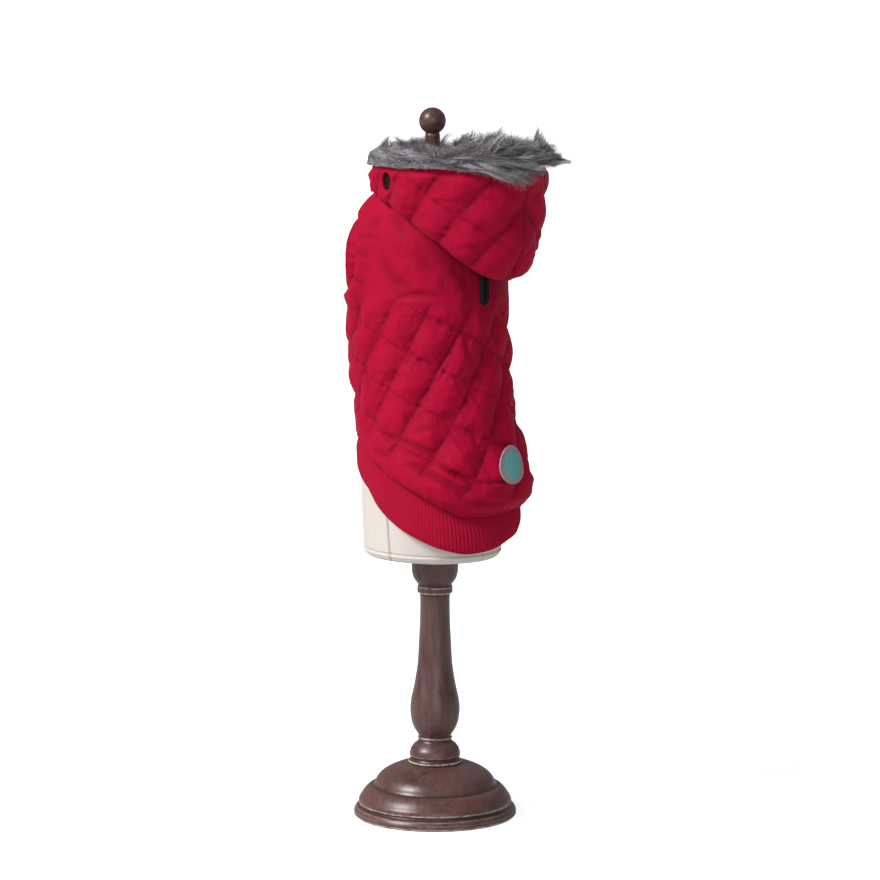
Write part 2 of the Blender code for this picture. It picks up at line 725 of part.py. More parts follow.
def hood_half(name, mirrored):
    """One half of the hood between its throat seam and its back seam, with the gap beside the throat.

    Both halves are worked out on the left, and the right one is turned over at the end.
    """
    spread, gap_block = hood_columns()
    rows = HOOD_GRID[1]
    profiles = [hood_profile(a, rows) for a in spread]
    radius = np.stack([p[0] for p in profiles], axis=1)
    height = np.stack([p[1] for p in profiles], axis=1)
    angle = np.repeat(spread[None], rows, axis=0)

    middle = 2 * gap_block + 1
    gap_low = THROAT_GAP["height"] - THROAT_GAP["half_height"]
    gap_high = THROAT_GAP["height"] + THROAT_GAP["half_height"]
    first_up = int(np.argmin(height[:, middle])) + 1
    block_heights = height[::2, middle]
    below = MM * (np.arange(0, rows, 2) < first_up)
    low = 2 * int(np.argmin(np.abs(block_heights - gap_low) + below))
    high = 2 * int(np.argmin(np.abs(block_heights - gap_high)))
    for row, pull in ((low, 1), (high, -1)):
        for column in (middle - 1, middle + 1):
            angle[row, column] += 0.3 * (angle[row, middle] - angle[row, column])
            height[row, column] += pull * 0.15 * THROAT_GAP["half_height"]
    holes = np.zeros((rows // 2, len(spread) // 2), bool)
    holes[low // 2:high // 2, gap_block] = True

    run, climb = np.gradient(radius, axis=0), np.gradient(height, axis=0)
    length = np.hypot(run, climb)
    out, up = climb / length, -run / length
    out[0], up[0] = 0, -1
    inner = at_place(angle, radius - out * HOOD_WALL / 2, height - up * HOOD_WALL / 2)

    free = inside_edges(angle.shape) & (out > 0.85) & (height < mouth_height(angle) - 5 * MM)
    free[:, middle - 1:middle + 2] = False
    moved_angle, moved_height = onto_lines(HOOD_QUILT, angle, height, free)
    for i, j in zip(*np.nonzero(free)):
        radius[i, j] = hood_outside(moved_angle[i, j], moved_height[i, j])
    angle, height = moved_angle, moved_height
    rise = np.arange(rows)[:, None] / (rows - 1)
    show = np.clip(out, 0, 1) * ease(rise / 0.15) * ease((mouth_height(angle) - 8 * MM - height) / (8 * MM))
    puff = puffed(*quilt_lines(HOOD_QUILT, angle, height))
    lift = HOOD_WALL / 2 + show * HOOD_PUFF_RISE * puff
    outer = at_place(angle, radius + out * lift, height + up * lift)
    if mirrored:
        outer, inner, holes = outer[:, ::-1] * [-1, 1, 1], inner[:, ::-1] * [-1, 1, 1], holes[:, ::-1]
    return wall(name, outer, inner, "red_cloth", holes=holes)


def fur_trim():
    """The fur strip round the hood's mouth, as a ring that reaches as far as the hair does."""
    angle = (np.arange(FUR_SIDES) * 360 / FUR_SIDES)[:, None]
    wave = 1 + 0.10 * np.sin(np.radians(angle * 9)) + 0.07 * np.sin(np.radians(angle * 16 + 40))
    out, up = FUR_SECTION["out"], FUR_SECTION["up"]
    reach_out = read_round(FUR_REACH, "share_out", angle) * wave
    reach_up = read_round(FUR_REACH, "share_up", angle) * wave
    reach_down = read_round(FUR_REACH, "share_down", angle) * wave
    seat = 2.6 * MM
    radial = np.where(out > seat, seat + (out - seat) * reach_out, out)
    lift = np.where(up > seat, seat + (up - seat) * reach_up, np.where(up < 0, up * reach_down, up))
    radius = mouth_radius(angle) + radial
    height = mouth_height(angle) + lift
    return tube("fur_trim", at_place(angle, radius, height), "grey_fur", smooth_to=70.0)


def form_torso():
    """The linen-covered form: whole, smooth and clear of the coat all round."""
    angle = np.arange(FORM_SIDES) * 360 / FORM_SIDES
    height = FORM["height"][:, None]
    radius = ring_radius(FORM, angle[None], height)
    return stack("form_torso", at_place(angle[None], radius, height), "cream_linen", smooth_to=50.0)


def finial():
    """The post and ball on the form's neck, in one turned piece."""
    seat = np.arcsin(np.clip((FINIAL_POST["height"][-1] - BALL["height"]) / BALL["radius"], -1, 1))
    swing = np.linspace(seat, np.radians(84), 10)
    profile = {
        "height": np.concatenate([FINIAL_POST["height"][:-1], BALL["height"] + BALL["radius"] * np.sin(swing)]),
        "radius": np.concatenate([FINIAL_POST["radius"][:-1], BALL["radius"] * np.cos(swing)]),
    }
    item = turned("finial", profile, "dark_walnut", sides=24)
    for corner in item.data.vertices:
        corner.co += mathutils.Vector(FINIAL_SHIFT)
    return item


def build():
    for item in list(bpy.data.objects):
        bpy.data.objects.remove(item)
    back_panel()
    chest_panel()
    hood_half("hood_left", mirrored=False)
    hood_half("hood_right", mirrored=True)
    fur_trim()
    rib_hem()
    leg_cuff("leg_cuff_left", mirrored=False)
    leg_cuff("leg_cuff_right", mirrored=True)
    slot_welt()
    label()
    form_torso()
    turned("neck_cap", NECK_CAP, "dark_walnut", sides=24)
    finial()
    turned("stand_column", STAND_COLUMN, "dark_walnut")
    turned("stand_base", STAND_BASE, "dark_walnut")


build()
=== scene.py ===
"""The looks of a hooded, quilted dog coat on a limbless dress form with a turned wooden stand.

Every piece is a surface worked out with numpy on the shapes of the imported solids. This file repeats those
shapes from the same named sizes. Angles are in degrees round the form: 0 is the belly, 90 the left flank and
180 the back.
"""

import math

import bpy
import numpy as np
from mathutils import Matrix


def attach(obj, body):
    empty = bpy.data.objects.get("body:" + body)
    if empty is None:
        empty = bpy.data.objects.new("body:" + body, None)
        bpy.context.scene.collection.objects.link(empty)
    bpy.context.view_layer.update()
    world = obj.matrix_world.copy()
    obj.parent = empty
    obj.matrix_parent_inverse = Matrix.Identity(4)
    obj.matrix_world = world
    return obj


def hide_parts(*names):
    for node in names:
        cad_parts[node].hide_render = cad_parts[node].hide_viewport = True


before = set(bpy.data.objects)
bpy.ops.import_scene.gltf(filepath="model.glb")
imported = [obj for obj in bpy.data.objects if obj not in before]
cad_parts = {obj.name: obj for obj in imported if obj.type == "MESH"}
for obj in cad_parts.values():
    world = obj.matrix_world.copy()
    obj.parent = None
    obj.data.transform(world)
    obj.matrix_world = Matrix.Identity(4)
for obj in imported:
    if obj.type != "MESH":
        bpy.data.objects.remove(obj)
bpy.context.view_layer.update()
MM = 0.001

# The sizes of the cut pieces, as the solids have them. The label leans by degrees round the coat for each
# metre up.
SEAM_GAP = 0.3 * MM
LINING_DEPTH = 3.4 * MM
EDGE_DEPTH = 1.6 * MM
HOOD_WALL = 2.0 * MM
RIB_COUNT = 142
RIB_RISE = 0.9 * MM
RIB_WALL = 2.2 * MM
SIDE_SEAM_ANGLE = 40.0
NECK_HEIGHT = 632.0 * MM
DEPTH_TO_WIDTH = 1.1
BAND_HEIGHT = 49.0 * MM
TUCK_HEIGHT = 15.0 * MM
LEG_HOLE = {"height": 569.0 * MM, "half_height": 33.0 * MM, "half_angle": 18.0}
SLOT = {"angle": 176.5, "height": 547.0 * MM, "half_width": 3.0 * MM, "half_height": 18.0 * MM}
WELT = {"width": 13.0 * MM, "length": 46.0 * MM, "slit": 1.0 * MM, "thickness": 1.8 * MM}
LABEL = {
    "angle": 184.5, "height": 367.5 * MM, "width": 32.4 * MM, "length": 36.4 * MM, "thickness": 1.3 * MM,
    "lean": 155.0,
}
# The hood's mouth: an oval shifted towards the back, and its heights at the throat and at the back.
MOUTH = {
    "half_width": 75.0 * MM, "half_depth": 92.0 * MM, "shift": 32.0 * MM,
    "front": 659.0 * MM, "back": 664.0 * MM,
}
THROAT_GAP = {"angle": 95.0, "height": 645.5 * MM, "half_width": 8.0 * MM, "half_height": 9.0 * MM}
# Quilting: two families of stitched lines that cross almost at right angles. The steep family is counted in
# degrees and turns towards the back by so many degrees for each metre up. The gentle family is counted in
# metres up and falls by so many metres for each degree towards the back.
BODY_QUILT = {
    "steep_pitch": 360 / 11, "steep_start": 129.0, "steep_turn": 430.0, "steep_height": 440.0 * MM,
    "gentle_pitch": 46.5 * MM, "gentle_fall": 5 * 46.5 * MM / 360,
    "gentle_start": 130.0, "gentle_height": 421.0 * MM,
}
HOOD_QUILT = {
    "steep_pitch": 27.5, "steep_start": 146.0, "steep_turn": 430.0, "steep_height": 610.0 * MM,
    "gentle_pitch": 52.0 * MM, "gentle_fall": 1.25 * MM,
    "gentle_start": 150.0, "gentle_height": 613.0 * MM,
}

# What turns the left side's points into the right side's.
MIRROR = [-1, 1, 1]

# How far one degree goes round the coat, round it at the leg holes, and round the hood's bag.
ARC = 1.326 * MM
LEG_ARC = 1.29 * MM
HOOD_ARC = 1.26 * MM

# How far apart the stitched lines are, square to them: the steep family and the gentle one.
STEEP_SPACING = 43 * MM
GENTLE_SPACING = 46 * MM

# How deep the padding and its wrinkles are drawn here.
PUFF_RISE = 6.8 * MM
STITCH_DEPTH = 3.6 * MM
HOOD_PUFF_RISE = 7.2 * MM
HOOD_STITCH_DEPTH = 1.0 * MM
PUCKER = 1.2 * MM
CRUMPLE = 1.0 * MM
# The height at which a puff that isn't quilted levels out, as a share of a full one.
FLAT_PUFF = 0.62


def table(names, *rows):
    """A short table as a dictionary of columns. Lengths turn into metres; angles and shares stay."""
    columns = dict(zip(names, np.array(rows, float).T))
    return {name: column if name.startswith(("angle", "share")) else column * MM
            for name, column in columns.items()}


BODY = table(
    ("height", "half_width", "shift"),
    (300, 77.5, 6.0), (320, 80.0, 8.6), (335, 83.4, 13.4), (346, 83.6, 13.0), (370, 80.4, 8.6),
    (400, 76.7, 2.2), (430, 75.3, -2.2), (460, 76.0, -8.2), (492, 76.0, -9.6), (545, 72.9, -6.5),
    (575, 71.0, -5.8), (595, 68.1, -3.6), (610, 63.8, -1.4), (622, 59.6, -0.7), (634, 55.9, 0.0),
    (650, 53.4, 0.0),
)
HEM = table(
    ("angle", "panel_edge", "band_edge"),
    (0, 394, 356), (30, 392, 354), (53, 386, 350), (72, 375, 340), (87, 363, 324), (104, 352, 308),
    (123, 339, 295), (141, 325, 285), (158, 316, 280), (176, 316, 283), (193, 318, 290), (210, 319, 295),
    (226, 320, 299), (250, 330, 309), (275, 350, 326), (300, 378, 344), (330, 391, 354),
)
BAND = table(
    ("above", "half_width", "shift"),
    (0, 77.0, 5.0), (8, 78.2, 5.0), (20, 78.2, 4.0), (32, 75.4, 2.8), (49, 70.85, 1.0),
)
HOOD_FOLD = table(
    ("angle", "drop"),
    (0, 0), (55, 0), (75, 3.5), (97, 10.5), (124, 30), (142, 48.5), (155, 66), (167, 77), (180, 83.5),
)
FORM = table(
    ("height", "half_width", "shift"),
    (266.8, 61.8, -4.0), (269.0, 64.2, -4.0), (276.0, 65.8, -3.4), (288, 67.2, -2.0), (310, 69.0, -0.8),
    (332, 69.8, -0.6), (360, 67.4, -1.0), (392, 64.2, -2.6), (430, 65.6, -4.4), (470, 66.6, -6.8),
    (513, 66.2, -7.4), (545, 65.2, -6.4), (575, 62.6, -5.4), (598, 57.6, -3.2), (618, 52.6, -1.4),
    (634, 50.4, -0.6), (655, 50.0, 0.0), (658, 47.6, 0.0),
)
STAND_BASE = table(
    ("height", "radius"),
    (0, 80.5), (1.6, 82.0), (4.5, 82.0), (8.5, 80.2), (10.8, 76.6), (12.2, 76.2), (13.6, 77.4),
    (17, 76.8), (21, 74.4), (25.5, 71.2), (29.4, 66.6), (30.4, 62.8), (32, 61.4), (36, 59.6),
    (41.5, 55.4), (46.4, 48.4), (50, 40.5), (52.4, 33.5), (53, 30.5),
)
STAND_COLUMN = table(
    ("height", "radius"),
    (53.3, 26.4), (55.2, 27.2), (57.0, 25.4), (58.4, 24.6), (61.5, 25.6), (66.5, 24.8), (72, 21.4),
    (75.5, 17.4), (77.4, 16.6), (79.2, 17.6), (80.6, 16.2), (84, 18.0), (89, 21.0), (97, 23.8),
    (109, 25.0), (118, 24.2), (130, 21.6), (142, 19.4), (158, 17.3), (178, 16.2), (199, 15.2),
    (219, 14.9), (226, 15.2), (228.4, 17.8), (233.8, 17.8), (235.4, 16.8), (239, 19.2), (244, 22.0),
    (251, 23.4), (266.5, 23.8),
)
NECK_CAP = table(
    ("height", "radius"), (658.3, 28.0), (660.0, 29.6), (663.0, 29.6), (665.0, 27.4), (667.0, 14.0),
)
FINIAL_POST = table(
    ("height", "radius"), (667.3, 9.6), (669.5, 10.2), (671.5, 8.2), (681.0, 7.4), (687.0, 7.6), (689.5, 8.8),
)
# A gathered sleeve's rings: how wide and high, and how far out from the coat's face.
SLEEVE = table(
    ("across", "up", "out"),
    (29.5, 36.8, 0.5), (29.0, 36.4, 2.6), (27.0, 35.0, 7.6), (23.4, 31.6, 11.6), (20.4, 29.0, 12.8),
    (20.0, 28.6, 11.2), (24.6, 33.0, 6.4), (26.6, 34.8, 0.5),
)
# A section through the slot's binding, from its slit out to its edge and up, as shares of its size.
WELT_LIPS = np.array([
    [1.0, 0.0], [0.96, 0.55], [0.82, 0.9], [0.66, 1.0], [0.5, 0.86], [0.34, 1.0], [0.16, 0.9], [0.04, 0.5],
    [0.0, 0.0],
])
BALL = {"height": 701.0 * MM, "radius": 13.4 * MM}
FINIAL_SHIFT = [1.8 * MM, -1.7 * MM, 0.0]

# Creases on the body cloth: both ends, how far the middle bows, half of the width, the depth.
BODY_CREASES = table(
    ("angle_0", "height_0", "angle_1", "height_1", "bow", "width", "depth"),
    (104, 531, 143, 533, 4, 3.8, 2.5),
    (86, 574, 118, 540, -5, 8.5, 1.9),
    (146, 569, 166, 530, 4, 7.0, 2.2),
    (118, 399, 142, 406, 2, 3.4, 1.7),
    (100, 393, 144, 373, 5, 3.0, 3.0),
    (134, 379, 165, 351, -3, 3.0, 3.2),
    (155, 354, 192, 359, -4, 2.8, 2.8),
    (144, 364, 160, 346, 2, 2.2, 2.0),
    (114, 370, 155, 338, 6, 4.4, 2.4),
    (148, 339, 182, 332, -4, 4.0, 2.2),
    (183, 540, 199, 458, -5, 3.8, 2.0),
    (172, 518, 174, 468, 3, 3.0, 1.6),
    (188, 520, 190, 470, 4, 3.2, 1.5),
    (160, 506, 168, 462, -4, 4.0, 1.2),
    (63, 536, 60, 486, 3, 3.2, 1.8),
    (70, 530, 69, 494, -2, 2.8, 1.4),
    (66, 468, 78, 432, 3, 3.6, 1.7),
    (74, 420, 92, 404, -3, 4.2, 1.4),
    (92, 612, 112, 588, 4, 7.0, 1.6),
    (66, 600, 84, 611, -3, 5.0, 1.5),
    (62, 586, 80, 588, 2, 3.6, 1.6),
    (62, 572, 78, 567, 2, 3.4, 1.3),
    (60, 553, 74, 541, -2, 3.6, 1.7),
    (118, 578, 136, 548, 4, 8.0, 1.5),
    (140, 560, 152, 532, -3, 6.0, 1.4),
    (98, 392, 114, 381, 3, 4.0, 1.3),
    (84, 380, 104, 370, 2, 3.6, 1.5),
    (204, 352, 232, 348, 5, 4.4, 2.2),
    (214, 402, 236, 398, -3, 3.6, 1.7),
    (236, 536, 262, 530, 4, 4.4, 1.8),
    (250, 478, 243, 440, 3, 3.4, 1.6),
    (206, 508, 212, 466, 3, 3.6, 1.4),
    (226, 566, 244, 590, 4, 7.0, 1.5),
    (262, 604, 282, 596, -3, 5.0, 1.5),
    (276, 586, 298, 584, 2, 3.6, 1.6),
    (284, 552, 298, 560, -2, 3.4, 1.5),
    (292, 470, 284, 430, 3, 3.6, 1.6),
    (268, 420, 286, 408, 3, 4.2, 1.4),
    (262, 366, 284, 378, 3, 3.8, 1.6),
    (300, 520, 303, 480, 3, 3.2, 1.5),
    (-30, 552, -12, 538, 3, 4.2, 1.5),
    (31, 556, 14, 536, -3, 4.4, 1.6),
    (-28, 600, -10, 612, 3, 4.6, 1.4),
    (29, 598, 12, 611, -3, 4.2, 1.4),
    (-22, 470, 2, 462, 4, 4.6, 1.3),
    (6, 430, 27, 421, 3, 4.2, 1.4),
    (-26, 420, -8, 408, -3, 4.4, 1.4),
)
# Creases on the hood's bag, by angle from the belly on either side.
HOOD_CREASES = table(
    ("angle_0", "height_0", "angle_1", "height_1", "bow", "width", "depth"),
    (105, 648, 121, 634, 3, 3.8, 1.2),
    (112, 628, 126, 618, -2, 3.4, 1.1),
    (134, 652, 141, 640, 2, 3.4, 1.2),
    (150, 590, 160, 574, 3, 3.6, 1.3),
    (164, 574, 170, 562, -2, 3.0, 1.2),
    (169, 650, 173, 628, 2, 3.0, 1.3),
    (158, 634, 168, 626, 2, 4.0, 0.9),
    (174, 612, 177, 584, 2, 3.2, 1.3),
    (142, 606, 150, 600, -2, 3.0, 0.9),
)
# How far the hair reaches round the mouth, as shares of the outline below: out, up and down.
FUR_REACH = table(
    ("angle", "share_out", "share_up", "share_down"),
    (0, 0.30, 1.05, 0.5), (46, 0.06, 0.55, 0.2), (80, 0.20, 0.85, 0.0), (110, 0.45, 1.05, 0.0),
    (140, 0.70, 1.00, 0.1), (160, 1.00, 1.35, 0.3), (174, 1.30, 1.70, 1.2), (187, 1.50, 1.75, 0.0),
    (205, 1.80, 1.50, 0.0), (226, 2.00, 0.85, 0.0), (248, 1.40, 1.25, 0.6), (272, 1.00, 1.55, 0.7),
    (298, 0.70, 1.25, 0.6), (320, 0.50, 1.05, 0.6),
)
# The outline that the tips of the hair reach, from its outer low edge over the top: that of the solid ring.
FUR_EDGE = table(("out", "up"), (8, -8.5), (16, -6.5), (13, 0), (10, 7), (5, 14), (-4, 21), (-7, 16))
# How far the hair lies over sideways, towards the left flank or away from it, and how much it sags.
FUR_LIE = table(
    ("angle", "side", "sag"),
    (0, -6, 1), (46, -6, -2), (80, -14, -2), (110, -22, -1), (128, -18, 1), (142, 2, 1), (158, 18, 6),
    (168, 20, 10), (180, 18, 2), (205, 14, -1), (226, 4, 3), (248, -16, 3), (272, -20, 2), (298, 6, 1),
    (320, 8, 1),
)
# The fur strip's fold over the mouth: out from the hood's wall and up from its mouth.
FUR_STRIP = table(
    ("out", "up"),
    (2.2, -3.0), (4.2, -2.6), (5.2, 0.6), (4.6, 4.6), (1.8, 7.4), (-2.4, 7.2), (-4.8, 4.4), (-5.0, 1.2),
)


# ---- shapes ----

def smooth(at, places, values):
    """A smooth curve through values at places that never swings past them (a monotone cubic)."""
    step = np.diff(places)
    slope = np.diff(values) / step
    before, after = slope[:-1], slope[1:]
    total = np.where(before * after > 0, before + after, 1.0)
    middle = np.where(before * after > 0, 2 * before * after / total, 0.0)
    tangent = np.concatenate([slope[:1], middle, slope[-1:]])
    at = np.asarray(at, float)
    i = np.clip(np.searchsorted(places, at, side="right") - 1, 0, len(step) - 1)
    t = np.clip((at - places[i]) / step[i], 0, 1)
    start = values[i] + t**2 * (3 - 2 * t) * (values[i + 1] - values[i])
    lean = (t**3 - 2 * t**2 + t) * tangent[i] + (t**3 - t**2) * tangent[i + 1]
    return start + lean * step[i]


def read(columns, wanted, at, by):
    """One column of a table, read smoothly at places along another of its columns."""
    return smooth(at, columns[by], columns[wanted])


def read_round(columns, wanted, angle):
    """One column of a table by angle, joined smoothly where the turn closes."""
    places, values = columns["angle"], columns[wanted]
    places = np.concatenate([places[-2:] - 360, places, places[:2] + 360])
    values = np.concatenate([values[-2:], values, values[:2]])
    return smooth(np.asarray(angle, float) % 360, places, values)


def along(angle):
    """The level direction at an angle round the form, as its X and Y parts."""
    turn = np.radians(angle)
    return np.sin(turn), -np.cos(turn)


def oval_radius(angle, half_width, half_depth, shift):
    """How far a ray from the axis at an angle goes to an oval whose middle is shifted towards the back."""
    x, y = along(angle)
    square = (x / half_width) ** 2 + (y / half_depth) ** 2
    cross = y * shift / half_depth**2
    rest = (shift / half_depth) ** 2 - 1
    return (cross + np.sqrt(cross**2 - square * rest)) / square


def ring_radius(rings, angle, place, by="height"):
    """The radius of a table's oval ring at an angle and a height."""
    half_width = read(rings, "half_width", place, by)
    return oval_radius(angle, half_width, DEPTH_TO_WIDTH * half_width, read(rings, "shift", place, by))


def at_place(angle, radius, height):
    """Points in space from angles, radii and heights."""
    x, y = along(angle)
    return np.stack(np.broadcast_arrays(radius * x, radius * y, height), axis=-1)


def ease(share):
    """A smooth step from 0 to 1."""
    share = np.clip(share, 0, 1)
    return share**2 * (3 - 2 * share)


def from_belly(angle):
    """How far round from the belly a place is, on either side, from 0 to 180 degrees."""
    return 180 - np.abs(angle % 360 - 180)


def bell(off, width):
    """A bump of height 1 that falls away on both sides within a width."""
    return np.exp(-((off / width) ** 2))


def drift(x, y, seed):
    """Soft noise from -1 to 1: a scattered value at each whole-number place, eased in between."""
    by_column, by_row, by_seed, scatter = 127.1, 311.7, 74.7, 43758.5453
    x, y = np.broadcast_arrays(np.asarray(x, float), np.asarray(y, float))
    column, row = np.floor(x), np.floor(y)
    u, v = ease(x - column), ease(y - row)

    def value(i, j):
        k = np.sin(i * by_column + j * by_row + seed * by_seed) * scatter
        return 2 * (k - np.floor(k)) - 1

    low = value(column, row) * (1 - u) + value(column + 1, row) * u
    high = value(column, row + 1) * (1 - u) + value(column + 1, row + 1) * u
    return low * (1 - v) + high * v


def quilt_lines(quilt, angle, height):
    """A place counted in stitched lines of either family, so that a line lies at each whole number."""
    steep = angle - quilt["steep_start"] - quilt["steep_turn"] * (height - quilt["steep_height"])
    gentle = height - quilt["gentle_height"] + quilt["gentle_fall"] * (angle - quilt["gentle_start"])
    return steep / quilt["steep_pitch"], gentle / quilt["gentle_pitch"]


def quilt_place(quilt, first, second):
    """The angle and the height of a place given in stitched lines: quilt_lines() turned round."""
    fall, turn = quilt["gentle_fall"], quilt["steep_turn"]
    rise = quilt["gentle_height"] + second * quilt["gentle_pitch"] + fall * quilt["gentle_start"]
    start = quilt["steep_start"] + first * quilt["steep_pitch"] + turn * (rise - quilt["steep_height"])
    angle = start / (1 + turn * fall)
    return angle, rise - fall * angle


def crumple(x, y, seed):
    """Soft noise folded over at its middle, so that crisp ridges run between shallow hollows.

    A place is first moved by slower noise, so that the ridges wander. A ridge stands at the crest wherever
    the noise is 0 and falls away on both sides by the slope, rounded at its top.
    """
    crest, slope, rounding = 0.75, 2.0, 0.006
    bend = 0.4 * drift(x * 0.7, y * 0.7, seed + 0.5)
    return crest - slope * np.sqrt(drift(x + bend, y - bend, seed) ** 2 + rounding)


def pillows(quilt, angle, height, seed):
    """The padding between the stitched lines, its puckers, and painted shade by how near a place is to a
    line.

    Across each family of lines the padding is a broad dome with a narrow valley at the line, and the steep
    family holds the cloth down harder than the gentle one. Each diamond is fullest near its lower line. Short
    crisp folds run out from the lines and fade within a few millimetres.
    """
    first, second = quilt_lines(quilt, angle, height)
    first = first + 0.03 * drift(first * 1.4, second * 1.9, seed)
    second = second + 0.05 * drift(np.floor(first) * 3.7, second * 0.6, seed + 1)
    off_first, off_second = np.abs(first - np.round(first)), np.abs(second - np.round(second))
    from_steep, from_gentle = off_first * STEEP_SPACING, off_second * GENTLE_SPACING
    steep_hold = 0.92 + 0.08 * drift(np.round(first) * 2.7, second * 0.8, seed + 2)
    gentle_hold = 0.60 + 0.36 * drift(first * 0.9, np.round(second) * 3.1, seed + 3)

    def dome(place):
        """A sharp rise beside the line and a slow one over the middle, mixed."""
        rise = np.abs(np.sin(np.pi * place))
        return 0.62 * rise**0.42 + 0.38 * rise**1.5

    fuller_below = 1 + 0.16 * np.cos(np.pi * (second - np.floor(second)))
    puff = (1 - steep_hold * (1 - dome(first))) * (1 - gentle_hold * (1 - dome(second))) * fuller_below

    steep_fold, steep_reach = 8.5 * MM, 8.0 * MM
    gentle_fold, gentle_reach = 8.0 * MM, 10.0 * MM
    pucker = crumple(second * GENTLE_SPACING / steep_fold + 2 * off_first, first * 1.6, seed + 4)
    pucker = pucker * np.exp(-from_steep / steep_reach)
    beside_gentle = crumple(first * STEEP_SPACING / gentle_fold, second * 1.6, seed + 5)
    pucker = pucker + 1.2 * beside_gentle * np.exp(-from_gentle / gentle_reach)
    # Painted shade in the valleys: darkest at a stitched line, fading within a few millimetres.
    steep_valley_shade = steep_hold * np.exp(-from_steep / (3.4 * MM))
    gentle_valley_shade = 0.8 * gentle_hold * np.exp(-from_gentle / (3.0 * MM))
    return puff, pucker, np.maximum(steep_valley_shade, gentle_valley_shade)


def creases(lines, angle, height):
    """Soft troughs from a table, each with a low ridge along one side and fading towards its ends.

    A place is read along a crease's straight run and square to it, less the bow, which is a parabola. The
    trough is a bell across the run. Given back with the relief is the painted shade in the troughs: how far
    down in a trough each place is, from 0 to 1, where a trough as deep as `full_depth` counts in full.
    """
    ridge_high, ridge_off, ridge_wide = 0.45, 1.7, 1.3
    full_depth = 2.4 * MM
    relief = np.zeros(np.broadcast(angle, height).shape)
    sunk = np.zeros_like(relief)
    for k, depth in enumerate(lines["depth"]):
        start = np.array([lines["angle_0"][k] * ARC, lines["height_0"][k]])
        end = np.array([lines["angle_1"][k] * ARC, lines["height_1"][k]])
        length = np.hypot(*(end - start))
        ahead = (end - start) / length
        x, y = angle * ARC - start[0], height - start[1]
        share = (x * ahead[0] + y * ahead[1]) / length
        off = y * ahead[0] - x * ahead[1] - lines["bow"][k] * 4 * share * (1 - share)
        fade = np.sin(np.pi * np.clip(share, 0, 1)) ** 0.7
        width = lines["width"][k]
        trough = bell(off, width)
        ridge = bell(off + ridge_off * width, ridge_wide * width)
        relief += depth * fade * (ridge_high * ridge - trough)
        # sunk is painted shade: the deeper in a trough a place lies, the darker its colour.
        sunk = np.maximum(sunk, fade * trough**1.5 * np.clip(depth / full_depth, 0, 1))
    return relief, sunk


def band_radius(angle, height):
    """The rib band's outer ring at an angle and a height, halfway up its ribs."""
    above = height - read_round(HEM, "band_edge", angle)
    return ring_radius(BAND, angle, above, by="above")


def panel_radius(angle, height):
    """The quilted panels' ring. A quarter of an oval draws it in at the hem, to just outside the rib band."""
    edge = read_round(HEM, "panel_edge", angle)
    band = band_radius(angle, edge) + RIB_RISE / 2 + 4 * SEAM_GAP + EDGE_DEPTH
    rise = np.clip((height - edge) / TUCK_HEIGHT, 0, 1)
    return band + (ring_radius(BODY, angle, height) - band) * np.sqrt(1 - (1 - rise) ** 2)


def leg_distance(angle, height, wider, taller):
    """How far out a place is from the middle of a leg hole: 1 on an oval that much larger than the hole."""
    across = (from_belly(angle) - SIDE_SEAM_ANGLE) / (wider * LEG_HOLE["half_angle"])
    return np.hypot(across, (height - LEG_HOLE["height"]) / (taller * LEG_HOLE["half_height"]))


def padding(angle, height):
    """How full the padding is away from the edges, and how much of its quilting shows: little at top and hem.

    Every edge and opening gives a fade from 0 to 1 by the distance from it, and the fades are multiplied.
    """
    above_edge = height - read_round(HEM, "panel_edge", angle)
    # On the left flank, from 20 to 142 degrees, the cloth stays plain for up to twice as far above the hem.
    plain_flank = ease((142 - angle) / 40) * ease((angle - 20) / 30)
    at_hem = ease(above_edge / ((12 + 12 * plain_flank) * MM))
    at_neck = ease((NECK_HEIGHT - height) / (14 * MM))
    at_leg = ease((leg_distance(angle, height, 1.45, 1.35) - 0.9) / 0.4)
    slot_across = (angle - SLOT["angle"]) / 9
    slot_up = (height - SLOT["height"]) / (1.7 * SLOT["half_height"])
    at_slot = ease((np.hypot(slot_across, slot_up) - 0.8) / 0.6)
    yoke_start, yoke_run, plain_yoke = 510 * MM, 24 * MM, 0.96
    below_yoke = 1 - plain_yoke * ease((height - yoke_start) / yoke_run)
    quilted = below_yoke * ease((above_edge - 10 * MM) / (24 * MM))
    return at_hem * at_neck * at_leg * at_slot, quilted


def sleeve_bulge(angle, height):
    """How the panels swell round the gathered sleeves: a fold beside each sleeve that sinks away from it."""
    sleeve_wide, sleeve_high, mean_reach = 29.5 * MM, 36.8 * MM, 33 * MM
    swell, swell_start, swell_run = 8.5 * MM, 3.5 * MM, 14 * MM
    across = (from_belly(angle) - SIDE_SEAM_ANGLE) * LEG_ARC / sleeve_wide
    beside = (np.hypot(across, (height - LEG_HOLE["height"]) / sleeve_high) - 1) * mean_reach
    sunk = bell(np.clip(beside - 4 * MM, 0, None), swell_run)
    less_in_front = np.where(across > 0, 1.0, 0.5)
    return swell * ease(beside / swell_start) * sunk * less_in_front


